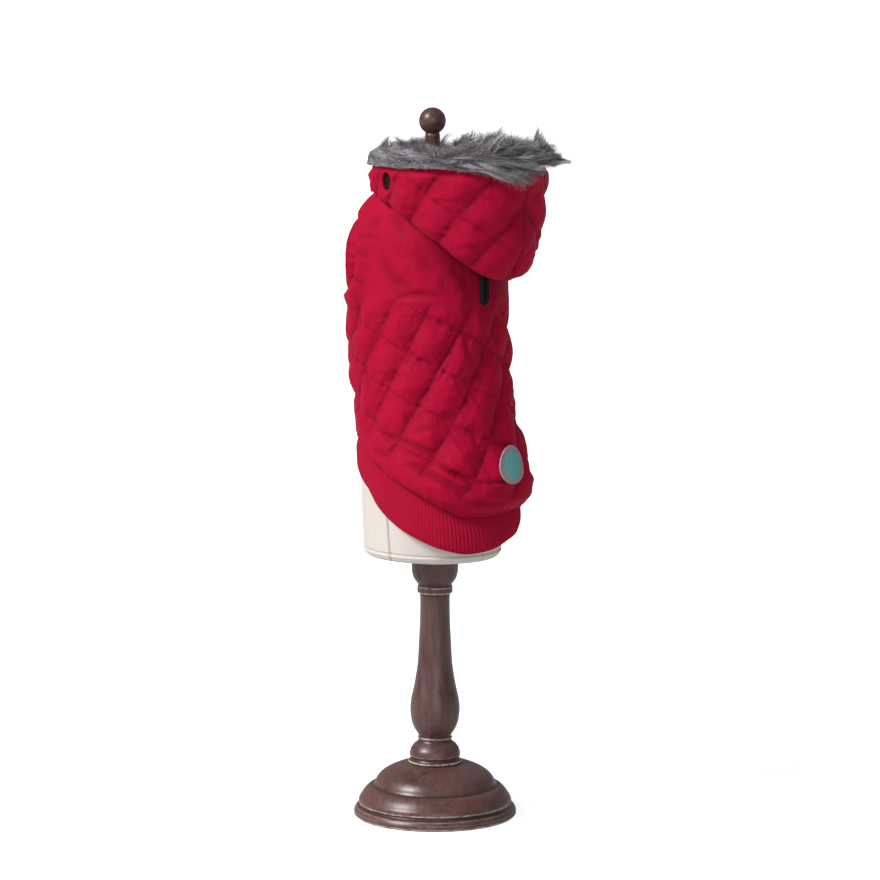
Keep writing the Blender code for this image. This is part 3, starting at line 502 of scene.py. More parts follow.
def body_surface(angle, height):
    """The panels' outer face: its radius, and its painted shade at stitched lines, creases and the hood's
    fold.

    The radius is the solid's own, raised by the puffs and puckers, the creases, the swell round the sleeves,
    two sizes of crumples and the gathers above the hem. All of it fades out towards the edges.
    """
    held, quilted = padding(angle, height)
    puff, pucker, near = pillows(BODY_QUILT, angle, height, 11)
    near = near * held * quilted
    puff = FLAT_PUFF + (puff - FLAT_PUFF) * quilted
    relief = held * (PUFF_RISE * puff - STITCH_DEPTH + PUCKER * pucker * quilted)
    above_edge = height - read_round(HEM, "panel_edge", angle)
    inside = ease(above_edge / (10 * MM)) * ease((NECK_HEIGHT - height) / (8 * MM))

    # The table counts the creases on the belly's right side from below 0, and the right flank's up to 360.
    out_of_reach = 1000
    from_left_to_right = (angle + 180) % 360 - 180
    right_flank = np.where(angle % 360 > 180, angle % 360, out_of_reach)
    for place in (from_left_to_right, right_flank):
        fold, crease_shade = creases(BODY_CREASES, place, height)
        relief = relief + inside * fold
        near = np.maximum(near, 0.95 * crease_shade)

    relief = relief + inside * sleeve_bulge(angle, height)
    rough = inside * CRUMPLE * (0.5 + 0.5 * quilted)
    relief = relief + rough * crumple(angle / 15, height / (25 * MM), 31)
    relief = relief + 0.6 * rough * crumple(angle / 7.1 + height / (22 * MM), height / (13 * MM), 37)
    gathers = np.exp(-above_edge / (9 * MM)) * ease(above_edge / (2.5 * MM))
    relief = relief + 2.0 * MM * gathers * crumple(angle / 5.2, height / (40 * MM), 41)
    radius = panel_radius(angle, height) + np.maximum(relief, -STITCH_DEPTH)
    # Painted shade: the stitched valleys and creases, and the shade below the hood's fold.
    return radius, np.maximum(near, painted_hood_shade(angle, height))


def painted_hood_shade(angle, height):
    """How much painted shade lies on the cloth under the hood: most right below its fold, less further down.
    """
    from_back = 180 - from_belly(angle)
    fold = NECK_HEIGHT - read(HOOD_FOLD, "drop", from_belly(angle), "angle")
    return ease((70 - from_back) / 38) * bell(np.clip(fold - height - 8 * MM, 0, None), 30 * MM)


def hood_profile(angle, rows):
    """The hood's wall at one angle, as radii and heights: from the neck seam round the fold up to the mouth.

    The wall steps out over the coat's neck edge, goes down close to the coat, turns round the fold in two
    quarters of ovals and goes up to the mouth, bowed out a little. Its rows lie at even lengths along it.
    """
    neck_step, coat_gap, bow = 2.8 * MM, 3.2 * MM, 2 * MM
    seam = ring_radius(BODY, angle, NECK_HEIGHT)
    drop = read(HOOD_FOLD, "drop", from_belly(angle), "angle")
    mouth, top = mouth_radius(angle), mouth_height(angle)
    start = NECK_HEIGHT + SEAM_GAP + HOOD_WALL / 2
    bag = ease(drop / (40 * MM))
    step = neck_step * ease(drop / (1.5 * MM))
    outside = seam + step + (mouth - 3 * MM * bag - seam - step) * ease(drop / (10 * MM))
    low = start - drop
    inner_bend = min(0.5 * (outside - seam), 0.8 * drop)
    outer_bend = max(inner_bend, 0.60 * (top - low) * bag)

    down = np.linspace(start, low + inner_bend, 24)
    coat = ring_radius(BODY, angle, np.minimum(down, NECK_HEIGHT))
    clear = coat + step + coat_gap * ease((start - down) / (14 * MM))
    inside = clear[-1]
    middle = inside + 0.45 * (outside - inside)
    swing = np.linspace(0, np.pi / 2, 14)[1:]
    first_radius = middle - (middle - inside) * np.cos(swing)
    first_height = low + inner_bend * (1 - np.sin(swing))
    last_radius = middle + (outside - middle) * np.sin(swing)
    last_height = low + outer_bend * (1 - np.cos(swing))
    rise = np.linspace(0, 1, 16)[1:]
    up_radius = outside + (mouth - outside) * rise + bow * bag * np.sin(np.pi * rise)
    up_height = low + outer_bend + (top - low - outer_bend) * rise

    radius = np.concatenate([clear, first_radius, last_radius, up_radius])
    height = np.concatenate([down, first_height, last_height, up_height])
    length = np.concatenate([[0], np.cumsum(np.hypot(np.diff(radius), np.diff(height)))])
    at = np.linspace(0, length[-1], rows - 1)
    radius, height = np.interp(at, length, radius), np.interp(at, length, height)
    tucked_in = seam - 1.5 * MM
    return np.concatenate([[tucked_in], radius]), np.concatenate([[start], height])


def mouth_radius(angle):
    """How far out the hood's mouth is at an angle: an oval that reaches back over the coat."""
    return oval_radius(angle, MOUTH["half_width"], MOUTH["half_depth"], MOUTH["shift"])


def mouth_height(angle):
    """How high the hood's mouth is: it rises smoothly from the throat to the back."""
    _, y = along(angle)
    return MOUTH["front"] + (MOUTH["back"] - MOUTH["front"]) * ease((y + 1) / 2)


def side_edge(height, towards_back):
    """The angle of a panel's side edge: the side seam, cut back round the leg hole."""
    mean_radius = 75 * MM
    up = np.clip((height - LEG_HOLE["height"]) / LEG_HOLE["half_height"], -1, 1)
    cut = LEG_HOLE["half_angle"] * np.sqrt(1 - up**2)
    return SIDE_SEAM_ANGLE + towards_back * (cut + np.degrees(SEAM_GAP / 2 / mean_radius))


# ---- meshes ----

def make_piece(name, points, faces, finish, uv=None, values=None, smooth_to=60.0):
    """An object from points in metres and a list of faces, with its finish, flat pattern and point values."""
    mesh = bpy.data.meshes.new(name)
    mesh.from_pydata(points.reshape(-1, 3).tolist(), [], faces)
    mesh.shade_smooth()
    mesh.set_sharp_from_angle(angle=math.radians(smooth_to))
    if uv is not None:
        corner = np.empty(len(mesh.loops), np.int32)
        mesh.loops.foreach_get("vertex_index", corner)
        layer = mesh.uv_layers.new(name="cloth")
        layer.data.foreach_set("uv", np.asarray(uv, np.float32).reshape(-1, 2)[corner].ravel())
    for label, value in (values or {}).items():
        layer = mesh.attributes.new(label, "FLOAT", "POINT")
        layer.data.foreach_set("value", np.asarray(value, np.float32).ravel())
    mesh.materials.append(finish)
    item = bpy.data.objects.new(name, mesh)
    bpy.context.scene.collection.objects.link(item)
    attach(item, "root")
    return item


def shell(name, outer, inner, finish, uv, values, around=False, holes=None):
    """A closed wall of cloth between an outer and an inner grid of points, rimmed at its edges and its holes.

    The columns turn from the belly towards the left flank and the rows run upwards, seen from outside. Each
    face that is kept stands in both grids, turned round on the inner one. Where a face has no neighbour on a
    side, a face of the rim joins the two grids along that side.
    """
    rows, columns = outer.shape[:2]
    across = columns if around else columns - 1
    kept = np.ones((rows - 1, across), bool) if holes is None else ~holes
    index = np.arange(rows * columns).reshape(rows, columns)
    corner = np.stack([index[:-1, :across], np.roll(index, -1, 1)[:-1, :across],
                       np.roll(index, -1, 1)[1:, :across], index[1:, :across]], axis=-1)
    inside = rows * columns
    faces = [corner[kept], corner[kept][:, ::-1] + inside]
    # Each side of a face: how the grid moves to bring its neighbour there, and the two corners on that side.
    beside = ((1, 0, 0, 1), (-1, 0, 2, 3), (0, 1, 3, 0), (0, -1, 1, 2))
    for down, over, a, b in beside:
        moved = np.roll(kept, (down, over), (0, 1))
        if down:
            moved[0 if down > 0 else -1] = False
        elif not around:
            moved[:, 0 if over > 0 else -1] = False
        edge = corner[kept & ~moved]
        faces.append(np.stack([edge[:, b], edge[:, a], edge[:, a] + inside, edge[:, b] + inside], axis=-1))
    faces = np.concatenate(faces)
    points = np.concatenate([outer.reshape(-1, 3), inner.reshape(-1, 3)])
    used, faces = np.unique(faces, return_inverse=True)
    faces = faces.reshape(-1, 4)
    uv = np.tile(uv.reshape(-1, 2), (2, 1))[used]
    values = {key: np.tile(np.ravel(value), 2)[used] for key, value in values.items()}
    return make_piece(name, points[used], faces.tolist(), finish, uv, values)


def tube(name, rings, finish, uv, values=None):
    """A looped cross-section carried round a loop: rings is shaped (around, section, 3)."""
    count, section = rings.shape[:2]
    index = np.arange(count * section).reshape(count, section)
    ahead = np.roll(index, -1, 0)
    faces = np.stack([index, ahead, np.roll(ahead, -1, 1), np.roll(index, -1, 1)], axis=-1).reshape(-1, 4)
    return make_piece(name, rings, faces.tolist(), finish, uv, values)


def stack(name, rings, finish, uv, values, smooth_to=40.0):
    """Rings laid one on another, closed at the bottom and at the top by a fan round a middle point."""
    rows, sides = rings.shape[:2]
    index = np.arange(rows * sides).reshape(rows, sides)
    ahead = np.roll(index, -1, 1)
    faces = np.stack([index[:-1], ahead[:-1], ahead[1:], index[1:]], axis=-1).reshape(-1, 4).tolist()
    low, high = rows * sides, rows * sides + 1
    faces += np.stack([ahead[0], index[0], np.full(sides, low)], axis=-1).tolist()
    faces += np.stack([index[-1], ahead[-1], np.full(sides, high)], axis=-1).tolist()
    points = np.concatenate([rings.reshape(-1, 3), rings[:1].mean(1), rings[-1:].mean(1)])
    uv = np.concatenate([uv.reshape(-1, 2), uv[:1, 0], uv[-1:, 0]])
    values = {key: np.concatenate([np.ravel(value), value[0, :1], value[-1, :1]])
              for key, value in values.items()}
    return make_piece(name, points, faces, finish, uv, values, smooth_to)


def strands(name, paths, sideways, upways, width, finish, values=None, sides=3):
    """Many tapered threads in one mesh: paths is (threads, steps, 3), with two directions across each.

    Round every step of a path lie a few points at the thread's half width, and both ends close in one face.
    """
    count, steps = paths.shape[:2]
    turn = np.arange(sides) * 2 * np.pi / sides
    ring = (sideways[:, None, None] * np.cos(turn)[None, None, :, None]
            + upways[:, None, None] * np.sin(turn)[None, None, :, None])
    points = paths[:, :, None] + ring * width[:, :, None, None]
    index = np.arange(count * steps * sides).reshape(count, steps, sides)
    ahead = np.roll(index, -1, 2)
    walls = np.stack([index[:, :-1], ahead[:, :-1], ahead[:, 1:], index[:, 1:]], axis=-1).reshape(-1, 4)
    ends = np.concatenate([index[:, 0, ::-1], index[:, -1]])
    faces = walls.tolist() + ends.tolist()
    values = {key: np.repeat(value.reshape(-1), sides) for key, value in (values or {}).items()}
    return make_piece(name, points, faces, finish, None, values, smooth_to=180.0)


# ---- finishes ----

class Recipe:
    """A material put together from nodes. A socket takes a number, a colour or another node's output."""

    def __init__(self, name, roughness, **sockets):
        self.material = bpy.data.materials.new(name)
        self.material.use_nodes = True
        self.tree = self.material.node_tree
        self.shader = self.tree.nodes["Principled BSDF"]
        self.set(self.shader, Roughness=roughness, **sockets)

    def set(self, node, **sockets):
        """Sets sockets by name, with _ for a space, or by place: i0 is the first."""
        for key, value in sockets.items():
            place = int(key[1:]) if key[0] == "i" and key[1:].isdigit() else key.replace("_", " ")
            if isinstance(value, bpy.types.NodeSocket):
                self.tree.links.new(value, node.inputs[place])
            else:
                node.inputs[place].default_value = value

    def node(self, kind, out=0, options=None, **sockets):
        """Adds a node and gives back one of its outputs."""
        made = self.tree.nodes.new("ShaderNode" + kind)
        for key, value in (options or {}).items():
            setattr(made, key, value)
        self.set(made, **sockets)
        return made.outputs[out]

    def place(self, stretch=(1, 1, 1)):
        """Places on the object, stretched."""
        return self.node("Mapping", Vector=self.node("TexCoord", out="Object"), Scale=stretch)

    def flat_place(self):
        """The X and the Y of a place on the piece's own flat pattern."""
        made = self.tree.nodes.new("ShaderNodeSeparateXYZ")
        self.set(made, Vector=self.node("TexCoord", out="UV"))
        return made.outputs[0], made.outputs[1]

    def value(self, name):
        """A value that the mesh holds at its points."""
        return self.node("Attribute", out="Fac", options={"attribute_name": name})

    def sum(self, how, a, b=0.0, c=0.0):
        """One step of arithmetic."""
        return self.node("Math", options={"operation": how}, i0=a, i1=b, i2=c)

    def noise(self, where, scale, detail=3.0, rough=0.55, twist=0.0):
        """Noise with so many bumps to the metre."""
        return self.node("TexNoise", Vector=where, Scale=scale, Detail=detail, Roughness=rough,
                         Distortion=twist)

    def ramp(self, value, *stops):
        """Turns a value into colours or greys by stops, each a place and what stands there."""
        made = self.tree.nodes.new("ShaderNodeValToRGB")
        bar = made.color_ramp.elements
        while len(bar) < len(stops):
            bar.new(0.5)
        for stop, (place, colour) in zip(bar, stops):
            stop.position = place
            stop.color = (*colour, 1) if isinstance(colour, tuple) else (colour, colour, colour, 1)
        self.set(made, Fac=value)
        return made.outputs[0]

    def blend(self, share, a, b):
        """A mix of two colours: the first where the share is 0 and the second where it is 1.

        On a mix node the colours go in at 6 and 7 and come out at 2.
        """
        a, b = [(*c, 1) if isinstance(c, tuple) else c for c in (a, b)]
        return self.node("Mix", out=2, options={"data_type": "RGBA"}, i0=share, i6=a, i7=b)

    def bump(self, height, depth, strength=1.0, under=None):
        """A bump of a depth in metres, over another one where that is given."""
        below = {} if under is None else {"Normal": under}
        return self.node("Bump", Height=height, Distance=depth, Strength=strength, **below)

    def done(self, colour, normal, roughness=None):
        """Joins the colour, the bump and any uneven roughness to the shader."""
        self.set(self.shader, Base_Color=colour, Normal=normal)
        if roughness is not None:
            self.set(self.shader, Roughness=roughness)
        return self.material


def woven(recipe, pitch):
    """The height of a plain weave: threads each way on the piece's flat pattern, over and under in turn."""
    turns = 2 * math.pi / pitch
    across, along_it = recipe.flat_place()
    warp = recipe.sum("SINE", recipe.sum("MULTIPLY", across, turns))
    weft = recipe.sum("SINE", recipe.sum("MULTIPLY", along_it, turns))
    return recipe.sum("MULTIPLY", warp, weft)


def shell_cloth():
    """Crimson shell cloth: soft uneven colour, painted shade in its valleys, a fine weave and crumples."""
    r = Recipe("quilted_shell", 0.68, Specular_IOR_Level=0.07, Sheen_Weight=0.04, Sheen_Roughness=0.5,
               Sheen_Tint=(1.0, 0.25, 0.35, 1))
    crimson, faded = (0.330, 0.0012, 0.0210), (0.420, 0.0024, 0.0330)
    painted_valley_shade_red, lint = (0.150, 0.0001, 0.0080), (0.43, 0.006, 0.045)
    broad = r.noise(r.place(), 26.0, 4.0, 0.6)
    fine = r.noise(r.place(), 420.0, 3.0, 0.6)
    colour = r.blend(broad, crimson, faded)
    # Painted shade: the line value darkens the cloth along the stitched valleys, in creases and below the
    # hood.
    colour = r.blend(r.sum("MULTIPLY", r.value("line"), 0.72), colour, painted_valley_shade_red)
    colour = r.blend(r.sum("MULTIPLY", fine, 0.14), colour, lint)
    crumples = r.noise(r.place(), 120.0, 4.0, 0.6, 0.6)
    level_folds = r.noise(r.place((1, 1, 0.35)), 62.0, 2.0, 0.5, 1.2)
    normal = r.bump(crumples, 1.1 * MM, 0.45)
    normal = r.bump(level_folds, 2.4 * MM, 0.45, normal)
    normal = r.bump(woven(r, 0.62 * MM), 0.06 * MM, 0.35, normal)
    return r.done(colour, normal, r.ramp(broad, (0.25, 0.60), (0.8, 0.74)))


def rib_knit():
    """Crimson rib knit: rows of small slanting loops along each rib, with painted shade between the ribs.

    A loop is a wave up the rib whose start is moved by how far the place is from the rib's middle.
    """
    r = Recipe("rib_knit", 0.9, Specular_IOR_Level=0.06, Sheen_Weight=0.06, Sheen_Roughness=0.5,
               Sheen_Tint=(1.0, 0.3, 0.4, 1))
    crimson, faded = (0.325, 0.0028, 0.0215), (0.400, 0.0050, 0.0310)
    shade, lint = (0.180, 0.0010, 0.0100), (0.42, 0.020, 0.050)
    loop_height, loop_slant = 2.1 * MM, 5.0
    rib_place, up_it = r.flat_place()
    from_middle = r.sum("ABSOLUTE", r.sum("SUBTRACT", r.sum("FRACT", rib_place), 0.5))
    turns = r.sum("MULTIPLY", up_it, 2 * math.pi / loop_height)
    loops = r.sum("SINE", r.sum("MULTIPLY_ADD", from_middle, loop_slant, turns))
    broad = r.noise(r.place(), 30.0, 4.0, 0.6)
    fuzz = r.noise(r.place(), 900.0, 2.0, 0.6)
    colour = r.blend(broad, crimson, faded)
    colour = r.blend(r.sum("MULTIPLY", r.value("rib_groove_shade"), 0.10), colour, shade)
    colour = r.blend(r.sum("MULTIPLY", fuzz, 0.18), colour, lint)
    normal = r.bump(loops, 0.22 * MM, 0.6)
    normal = r.bump(fuzz, 0.2 * MM, 0.5, normal)
    return r.done(colour, normal)


def fur_hair():
    """Grey hair: each strand has its own tone, darker at the root and paler towards the tip."""
    r = Recipe("fur_hair", 0.5, Specular_IOR_Level=0.4, Sheen_Weight=0.1, Sheen_Roughness=0.4)
    root, dark = (0.028, 0.024, 0.028), (0.120, 0.108, 0.120)
    pale, tip = (0.32, 0.305, 0.325), (0.74, 0.72, 0.75)
    streak = r.noise(r.place((1, 1, 2)), 160.0, 2.0, 0.5)
    mixed = r.sum("ADD", r.value("tone"), r.sum("MULTIPLY_ADD", streak, 0.24, -0.12))
    colour = r.ramp(mixed, (0.0, root), (0.35, dark), (0.65, pale), (1.0, tip))
    return r.done(colour, r.bump(streak, 0.2 * MM, 0.3))


def linen():
    """Cream linen over the form: plain weave, uneven threads both ways, dark seams, painted shade in a
    crease.
    """
    r = Recipe("cream_linen_cloth", 0.9, Specular_IOR_Level=0.2, Sheen_Weight=0.08, Sheen_Roughness=0.6)
    cream, bleached = (0.67, 0.605, 0.56), (0.73, 0.685, 0.65)
    flax, sewn = (0.52, 0.44, 0.37), (0.20, 0.14, 0.10)
    slub = r.noise(r.place((1, 1, 0.1)), 520.0, 2.0, 0.5)
    slub_across = r.noise(r.place((0.12, 0.12, 1)), 620.0, 2.0, 0.5)
    broad = r.noise(r.place(), 14.0, 4.0, 0.6)
    colour = r.blend(broad, cream, bleached)
    colour = r.blend(r.sum("MULTIPLY", slub, 0.25), colour, flax)
    # The seam value darkens the sewn seams, and as painted shade the crease above the edge cord.
    colour = r.blend(r.sum("MULTIPLY", r.value("seam"), 0.6), colour, sewn)
    threads = r.sum("MULTIPLY_ADD", r.sum("ADD", slub, slub_across), 0.8, woven(r, 1.3 * MM))
    return r.done(colour, r.bump(threads, 0.16 * MM, 0.55))


def walnut():
    """Dark stained, waxed wood: grain up the piece, fine pores, and pale rubbed lines on its edges."""
    r = Recipe("dark_walnut_stain", 0.38, Specular_IOR_Level=0.5, Coat_Weight=0.15, Coat_Roughness=0.3)
    dark, brown, red_brown = (0.040, 0.017, 0.0155), (0.086, 0.038, 0.034), (0.146, 0.065, 0.056)
    rubbed, wax_dirt, bare = (0.158, 0.068, 0.057), (0.016, 0.008, 0.008), (0.60, 0.53, 0.50)
    grain = r.noise(r.place((1, 1, 0.10)), 95.0, 5.0, 0.6, 1.4)
    pores = r.noise(r.place((1, 1, 0.05)), 900.0, 2.0, 0.6)
    broad = r.noise(r.place((1, 1, 0.6)), 18.0, 3.0, 0.55)
    scuffs = r.noise(r.place(), 150.0, 4.0, 0.65)
    colour = r.ramp(grain, (0.30, dark), (0.52, brown), (0.75, red_brown))
    colour = r.blend(r.sum("MULTIPLY", r.ramp(broad, (0.38, 0.0), (0.72, 1.0)), 0.5), colour, rubbed)
    colour = r.blend(r.sum("MULTIPLY", r.value("hollow"), 0.7), colour, wax_dirt)
    worn = r.sum("MULTIPLY", r.value("worn"), r.ramp(scuffs, (0.38, 0.15), (0.56, 1.0)))
    colour = r.blend(r.sum("MULTIPLY", worn, 0.85), colour, bare)
    normal = r.bump(grain, 0.5 * MM, 0.25)
    normal = r.bump(pores, 0.12 * MM, 0.3, normal)
    return r.done(colour, normal, r.ramp(grain, (0.3, 0.32), (0.8, 0.46)))


def binding():
    """Black woven tape with a little lint."""
    r = Recipe("black_tape", 0.8, Specular_IOR_Level=0.12, Sheen_Weight=0.04, Sheen_Roughness=0.5)
    black, dusty = (0.008, 0.006, 0.007), (0.040, 0.030, 0.033)
    lint = r.noise(r.place(), 700.0, 3.0, 0.6)
    colour = r.blend(r.ramp(lint, (0.45, 0.0), (0.8, 0.5)), black, dusty)
    return r.done(colour, r.bump(woven(r, 0.7 * MM), 0.25 * MM, 0.7))


def label_weave():
    """Woven label cloth: a pale grey ground with a plain teal oval, in fine threads."""
    r = Recipe("label_weave", 0.6, Specular_IOR_Level=0.25, Sheen_Weight=0.08, Sheen_Roughness=0.4)
    edge_grey = (0.32, 0.285, 0.31)
    thread = r.noise(r.place(), 800.0, 2.0, 0.5)
    grey = r.blend(thread, (0.25, 0.225, 0.25), (0.38, 0.34, 0.375))
    teal = r.blend(thread, (0.080, 0.36, 0.35), (0.19, 0.49, 0.48))
    colour = r.blend(r.ramp(r.value("middle"), (0.38, 0.0), (0.58, 1.0)), grey, teal)
    colour = r.blend(r.sum("MULTIPLY", r.value("rim"), 0.5), colour, edge_grey)
    return r.done(colour, r.bump(woven(r, 0.6 * MM), 0.12 * MM, 0.6))


def sewing_thread(name, low, high):
    """Sewing thread in two tones, twisted from plies."""
    r = Recipe(name, 0.6, Specular_IOR_Level=0.2)
    twist = r.noise(r.place(), 1200.0, 2.0, 0.6)
    return r.done(r.blend(twist, low, high), r.bump(twist, 0.1 * MM, 0.5))


def floor_paper():
    """Plain pale studio paper with the faintest tooth, which glows a little to the lens alone."""
    r = Recipe("studio_paper", 0.95, Specular_IOR_Level=0.1, Emission_Color=(1.0, 1.0, 1.0, 1))
    glow = 0.80
    tooth = r.noise(r.place(), 60.0, 4.0, 0.6)
    seen = r.node("LightPath", out="Is Camera Ray")
    r.set(r.shader, Emission_Strength=r.sum("MULTIPLY", seen, glow))
    return r.done(r.blend(tooth, (0.66, 0.66, 0.66), (0.68, 0.68, 0.68)), r.bump(tooth, 0.2 * MM, 0.1))


# ---- the coat ----

RED = shell_cloth()
RIB = rib_knit()
HAIR = fur_hair()


def pattern(angle, height):
    """The flat pattern's places in metres: round the coat and up it."""
    return np.stack(np.broadcast_arrays(angle * ARC, height), axis=-1)


def panel(name, angle, height, holes=None):
    """A quilted panel on a grid of angles and heights.

    Its outer face is the body's surface, pressed in along the hem's seam. Its inner face lies a lining's
    depth inside the solid's outer one, less deep at the hem, and never nearer to the outer face than the
    least wall.
    """
    seam_press, lining_press, press_run, least_wall = 1.71 * MM, 0.45 * MM, 3 * MM, 0.7 * MM
    radius, line = body_surface(angle, height)
    above_edge = height - read_round(HEM, "panel_edge", angle)
    depth = EDGE_DEPTH + (LINING_DEPTH - EDGE_DEPTH) * ease(above_edge / TUCK_HEIGHT)
    at_seam = np.exp(-above_edge / press_run)
    radius = radius - seam_press * at_seam
    inner = panel_radius(angle, height) - depth - lining_press * at_seam
    inner = np.minimum(inner, radius - least_wall)
    # The line value is painted shade, which darkens the cloth's colour.
    return shell(name, at_place(angle, radius, height), at_place(angle, inner, height), RED,
                 pattern(angle, height), {"line": line}, holes=holes)


def between_seams(share, towards_back):
    """The angle of a side edge and a panel's height there, by the share of the way up."""
    bottom = read_round(HEM, "panel_edge", SIDE_SEAM_ANGLE)
    return side_edge(bottom + share * (NECK_HEIGHT - bottom), towards_back)


def panel_heights(angle, share):
    """Heights on a panel: from its lower edge at each angle up to the neck seam."""
    low = read_round(HEM, "panel_edge", angle)
    return low + share * (NECK_HEIGHT - low)


def back_panel():
    """The back and flanks in one piece: rows run from the hem to the neck, columns between the side seams."""
    rows, columns = 186, 258
    share = np.linspace(0, 1, rows)[:, None]
    edge = between_seams(share, 1)
    angle = edge + (360 - 2 * edge) * np.linspace(0, 1, columns)
    height = panel_heights(angle, share)
    centre_angle = (angle[:-1, :-1] + angle[1:, 1:]) / 2
    centre_height = (height[:-1, :-1] + height[1:, 1:]) / 2
    across = (centre_angle - SLOT["angle"]) * ARC / SLOT["half_width"]
    in_slot = np.hypot(across, (centre_height - SLOT["height"]) / SLOT["half_height"]) < 1
    return panel("coat_back", angle, height, in_slot)


def chest_panel():
    """The piece between the legs: rows run from the hem to the throat, columns between the side seams."""
    rows, columns = 150, 72
    share = np.linspace(0, 1, rows)[:, None]
    angle = between_seams(share, -1) * np.linspace(-1, 1, columns)
    return panel("coat_chest", angle, panel_heights(angle, share))


def hood_half(name, mirrored):
    """One half of the hood between its throat seam and its back seam, with the gap beside the throat.

    The wall is the profile carried round by angle. Its outside takes the pillows, a few creases and crumples,
    which all fade out at its edges. Near the gap, places are pushed out onto the gap's oval.
    """
    rows, columns, quilting_seed = 150, 150, 51 if mirrored else 71
    seam_turn = np.degrees(SEAM_GAP / 2 / (61 * MM))
    spread = np.linspace(seam_turn, 180 - seam_turn / 2, columns)
    profiles = [hood_profile(a, rows) for a in spread]
    radius = np.stack([p[0] for p in profiles], axis=1)
    height = np.stack([p[1] for p in profiles], axis=1)
    angle = np.repeat(spread[None], rows, axis=0)
    run, climb = np.gradient(radius, axis=0), np.gradient(height, axis=0)
    length = np.hypot(run, climb)
    out, up = climb / length, -run / length
    out[0], up[0] = 0, -1

    upper = np.arange(rows)[:, None] > np.argmin(height, axis=0)[None]
    gap_width = THROAT_GAP["half_width"] / HOOD_ARC
    gap_height = THROAT_GAP["half_height"]
    x = (angle - THROAT_GAP["angle"]) / gap_width
    y = (height - THROAT_GAP["height"]) / gap_height
    reach = np.hypot(x, y)
    in_gap = upper & (reach < 1)
    holes = in_gap[:-1, :-1] & in_gap[1:, :-1] & in_gap[:-1, 1:] & in_gap[1:, 1:]
    push = np.where(in_gap, 1 / np.maximum(reach, 0.3), 1)
    angle = np.where(in_gap, THROAT_GAP["angle"] + x * push * gap_width, angle)
    height = np.where(in_gap, THROAT_GAP["height"] + y * push * gap_height, height)

    rise = np.arange(rows)[:, None] / (rows - 1)
    show = np.clip(out, 0, 1) * ease(rise / 0.12) * ease((mouth_height(angle) - 3 * MM - height) / (9 * MM))
    show = show * ease((reach - 1.0) / 0.7 + np.where(upper, 0, 9))
    puff, pucker, line = pillows(HOOD_QUILT, angle, height, quilting_seed)
    fold, crease_shade = creases(HOOD_CREASES, angle, height)
    relief = HOOD_PUFF_RISE * puff - HOOD_STITCH_DEPTH + 0.9 * PUCKER * pucker + fold
    relief = show * (relief + 0.7 * CRUMPLE * crumple(angle / 9, height / (15 * MM), 77))
    back_seam = bell((180 - angle) * 1.6, 2.4) * show
    relief = relief - 1.6 * MM * back_seam

    deepest, least_wall = 1.4 * MM, 0.9 * MM
    outer_lift = HOOD_WALL / 2 + np.maximum(relief, -deepest)
    inner_lift = np.minimum(-HOOD_WALL / 2, outer_lift - least_wall)
    outer = at_place(angle, radius + out * outer_lift, height + up * outer_lift)
    inner = at_place(angle, radius + out * inner_lift, height + up * inner_lift)
    # Painted shade: the cloth darkens along the stitched valleys, in the creases and in the back seam's
    # hollow.
    line = np.maximum(np.minimum(1.1 * line, 1), 0.7 * crease_shade) * show
    line = np.maximum(line, 0.8 * back_seam)
    uv = pattern(angle, np.cumsum(length, axis=0))
    if mirrored:
        outer, inner = outer[:, ::-1] * MIRROR, inner[:, ::-1] * MIRROR
        uv, line, holes = uv[:, ::-1], line[:, ::-1], holes[:, ::-1]
    return shell(name, outer, inner, RED, uv, {"line": line}, holes=holes)


def rib_band():
    """The rib-knit band: a tube whose radius rises and falls once for each rib, drawn in at its seams.

    The ribs lean a little on the way up, the band sways in and out by slow waves, and its lower edge rolls
    in. The ribs stand higher at the back, where the band is stretched less.
    """
    rows, per_rib = 30, 8
    angle = np.arange(RIB_COUNT * per_rib)[None] * 360 / (RIB_COUNT * per_rib)
    share = np.linspace(0, 1, rows)[:, None]
    lean = 1.2 * share + 0.5 * np.sin(np.radians(angle * 3)) * share
    height = read_round(HEM, "band_edge", angle) + share * BAND_HEIGHT
    turn = (angle + lean) * RIB_COUNT / 360
    rib = np.cos(2 * np.pi * turn)
    rounded = np.sign(rib) * np.abs(rib) ** 0.75
    half_rise = (0.09 + 0.19 * ease((72 - np.abs(angle - 180)) / 40)) * MM
    sway = 0.5 * MM * np.sin(np.radians(angle * 5 + 40)) * share * (1 - share) * 4
    sway = sway + 0.35 * MM * np.sin(np.radians(angle * 13 + 10)) * (1 - share)
    radius = band_radius(angle, height)
    edge_roll = 0.9 * MM * (1 - ease(share / 0.12))
    outer = at_place(angle, radius + half_rise * rounded + sway - edge_roll, height)
    inner = at_place(angle, radius - RIB_WALL + 0.6 * (sway + edge_roll), height)
    uv = np.stack(np.broadcast_arrays(turn, share * BAND_HEIGHT), axis=-1)
    # Painted shade between the ribs: 1 at the bottom between two ribs, 0 on a rib's top.
    rib_groove_shade = (0.5 - 0.5 * rib) ** 1.5
    return shell("rib_band", outer, inner, RIB, uv, {"rib_groove_shade": rib_groove_shade}, around=True)


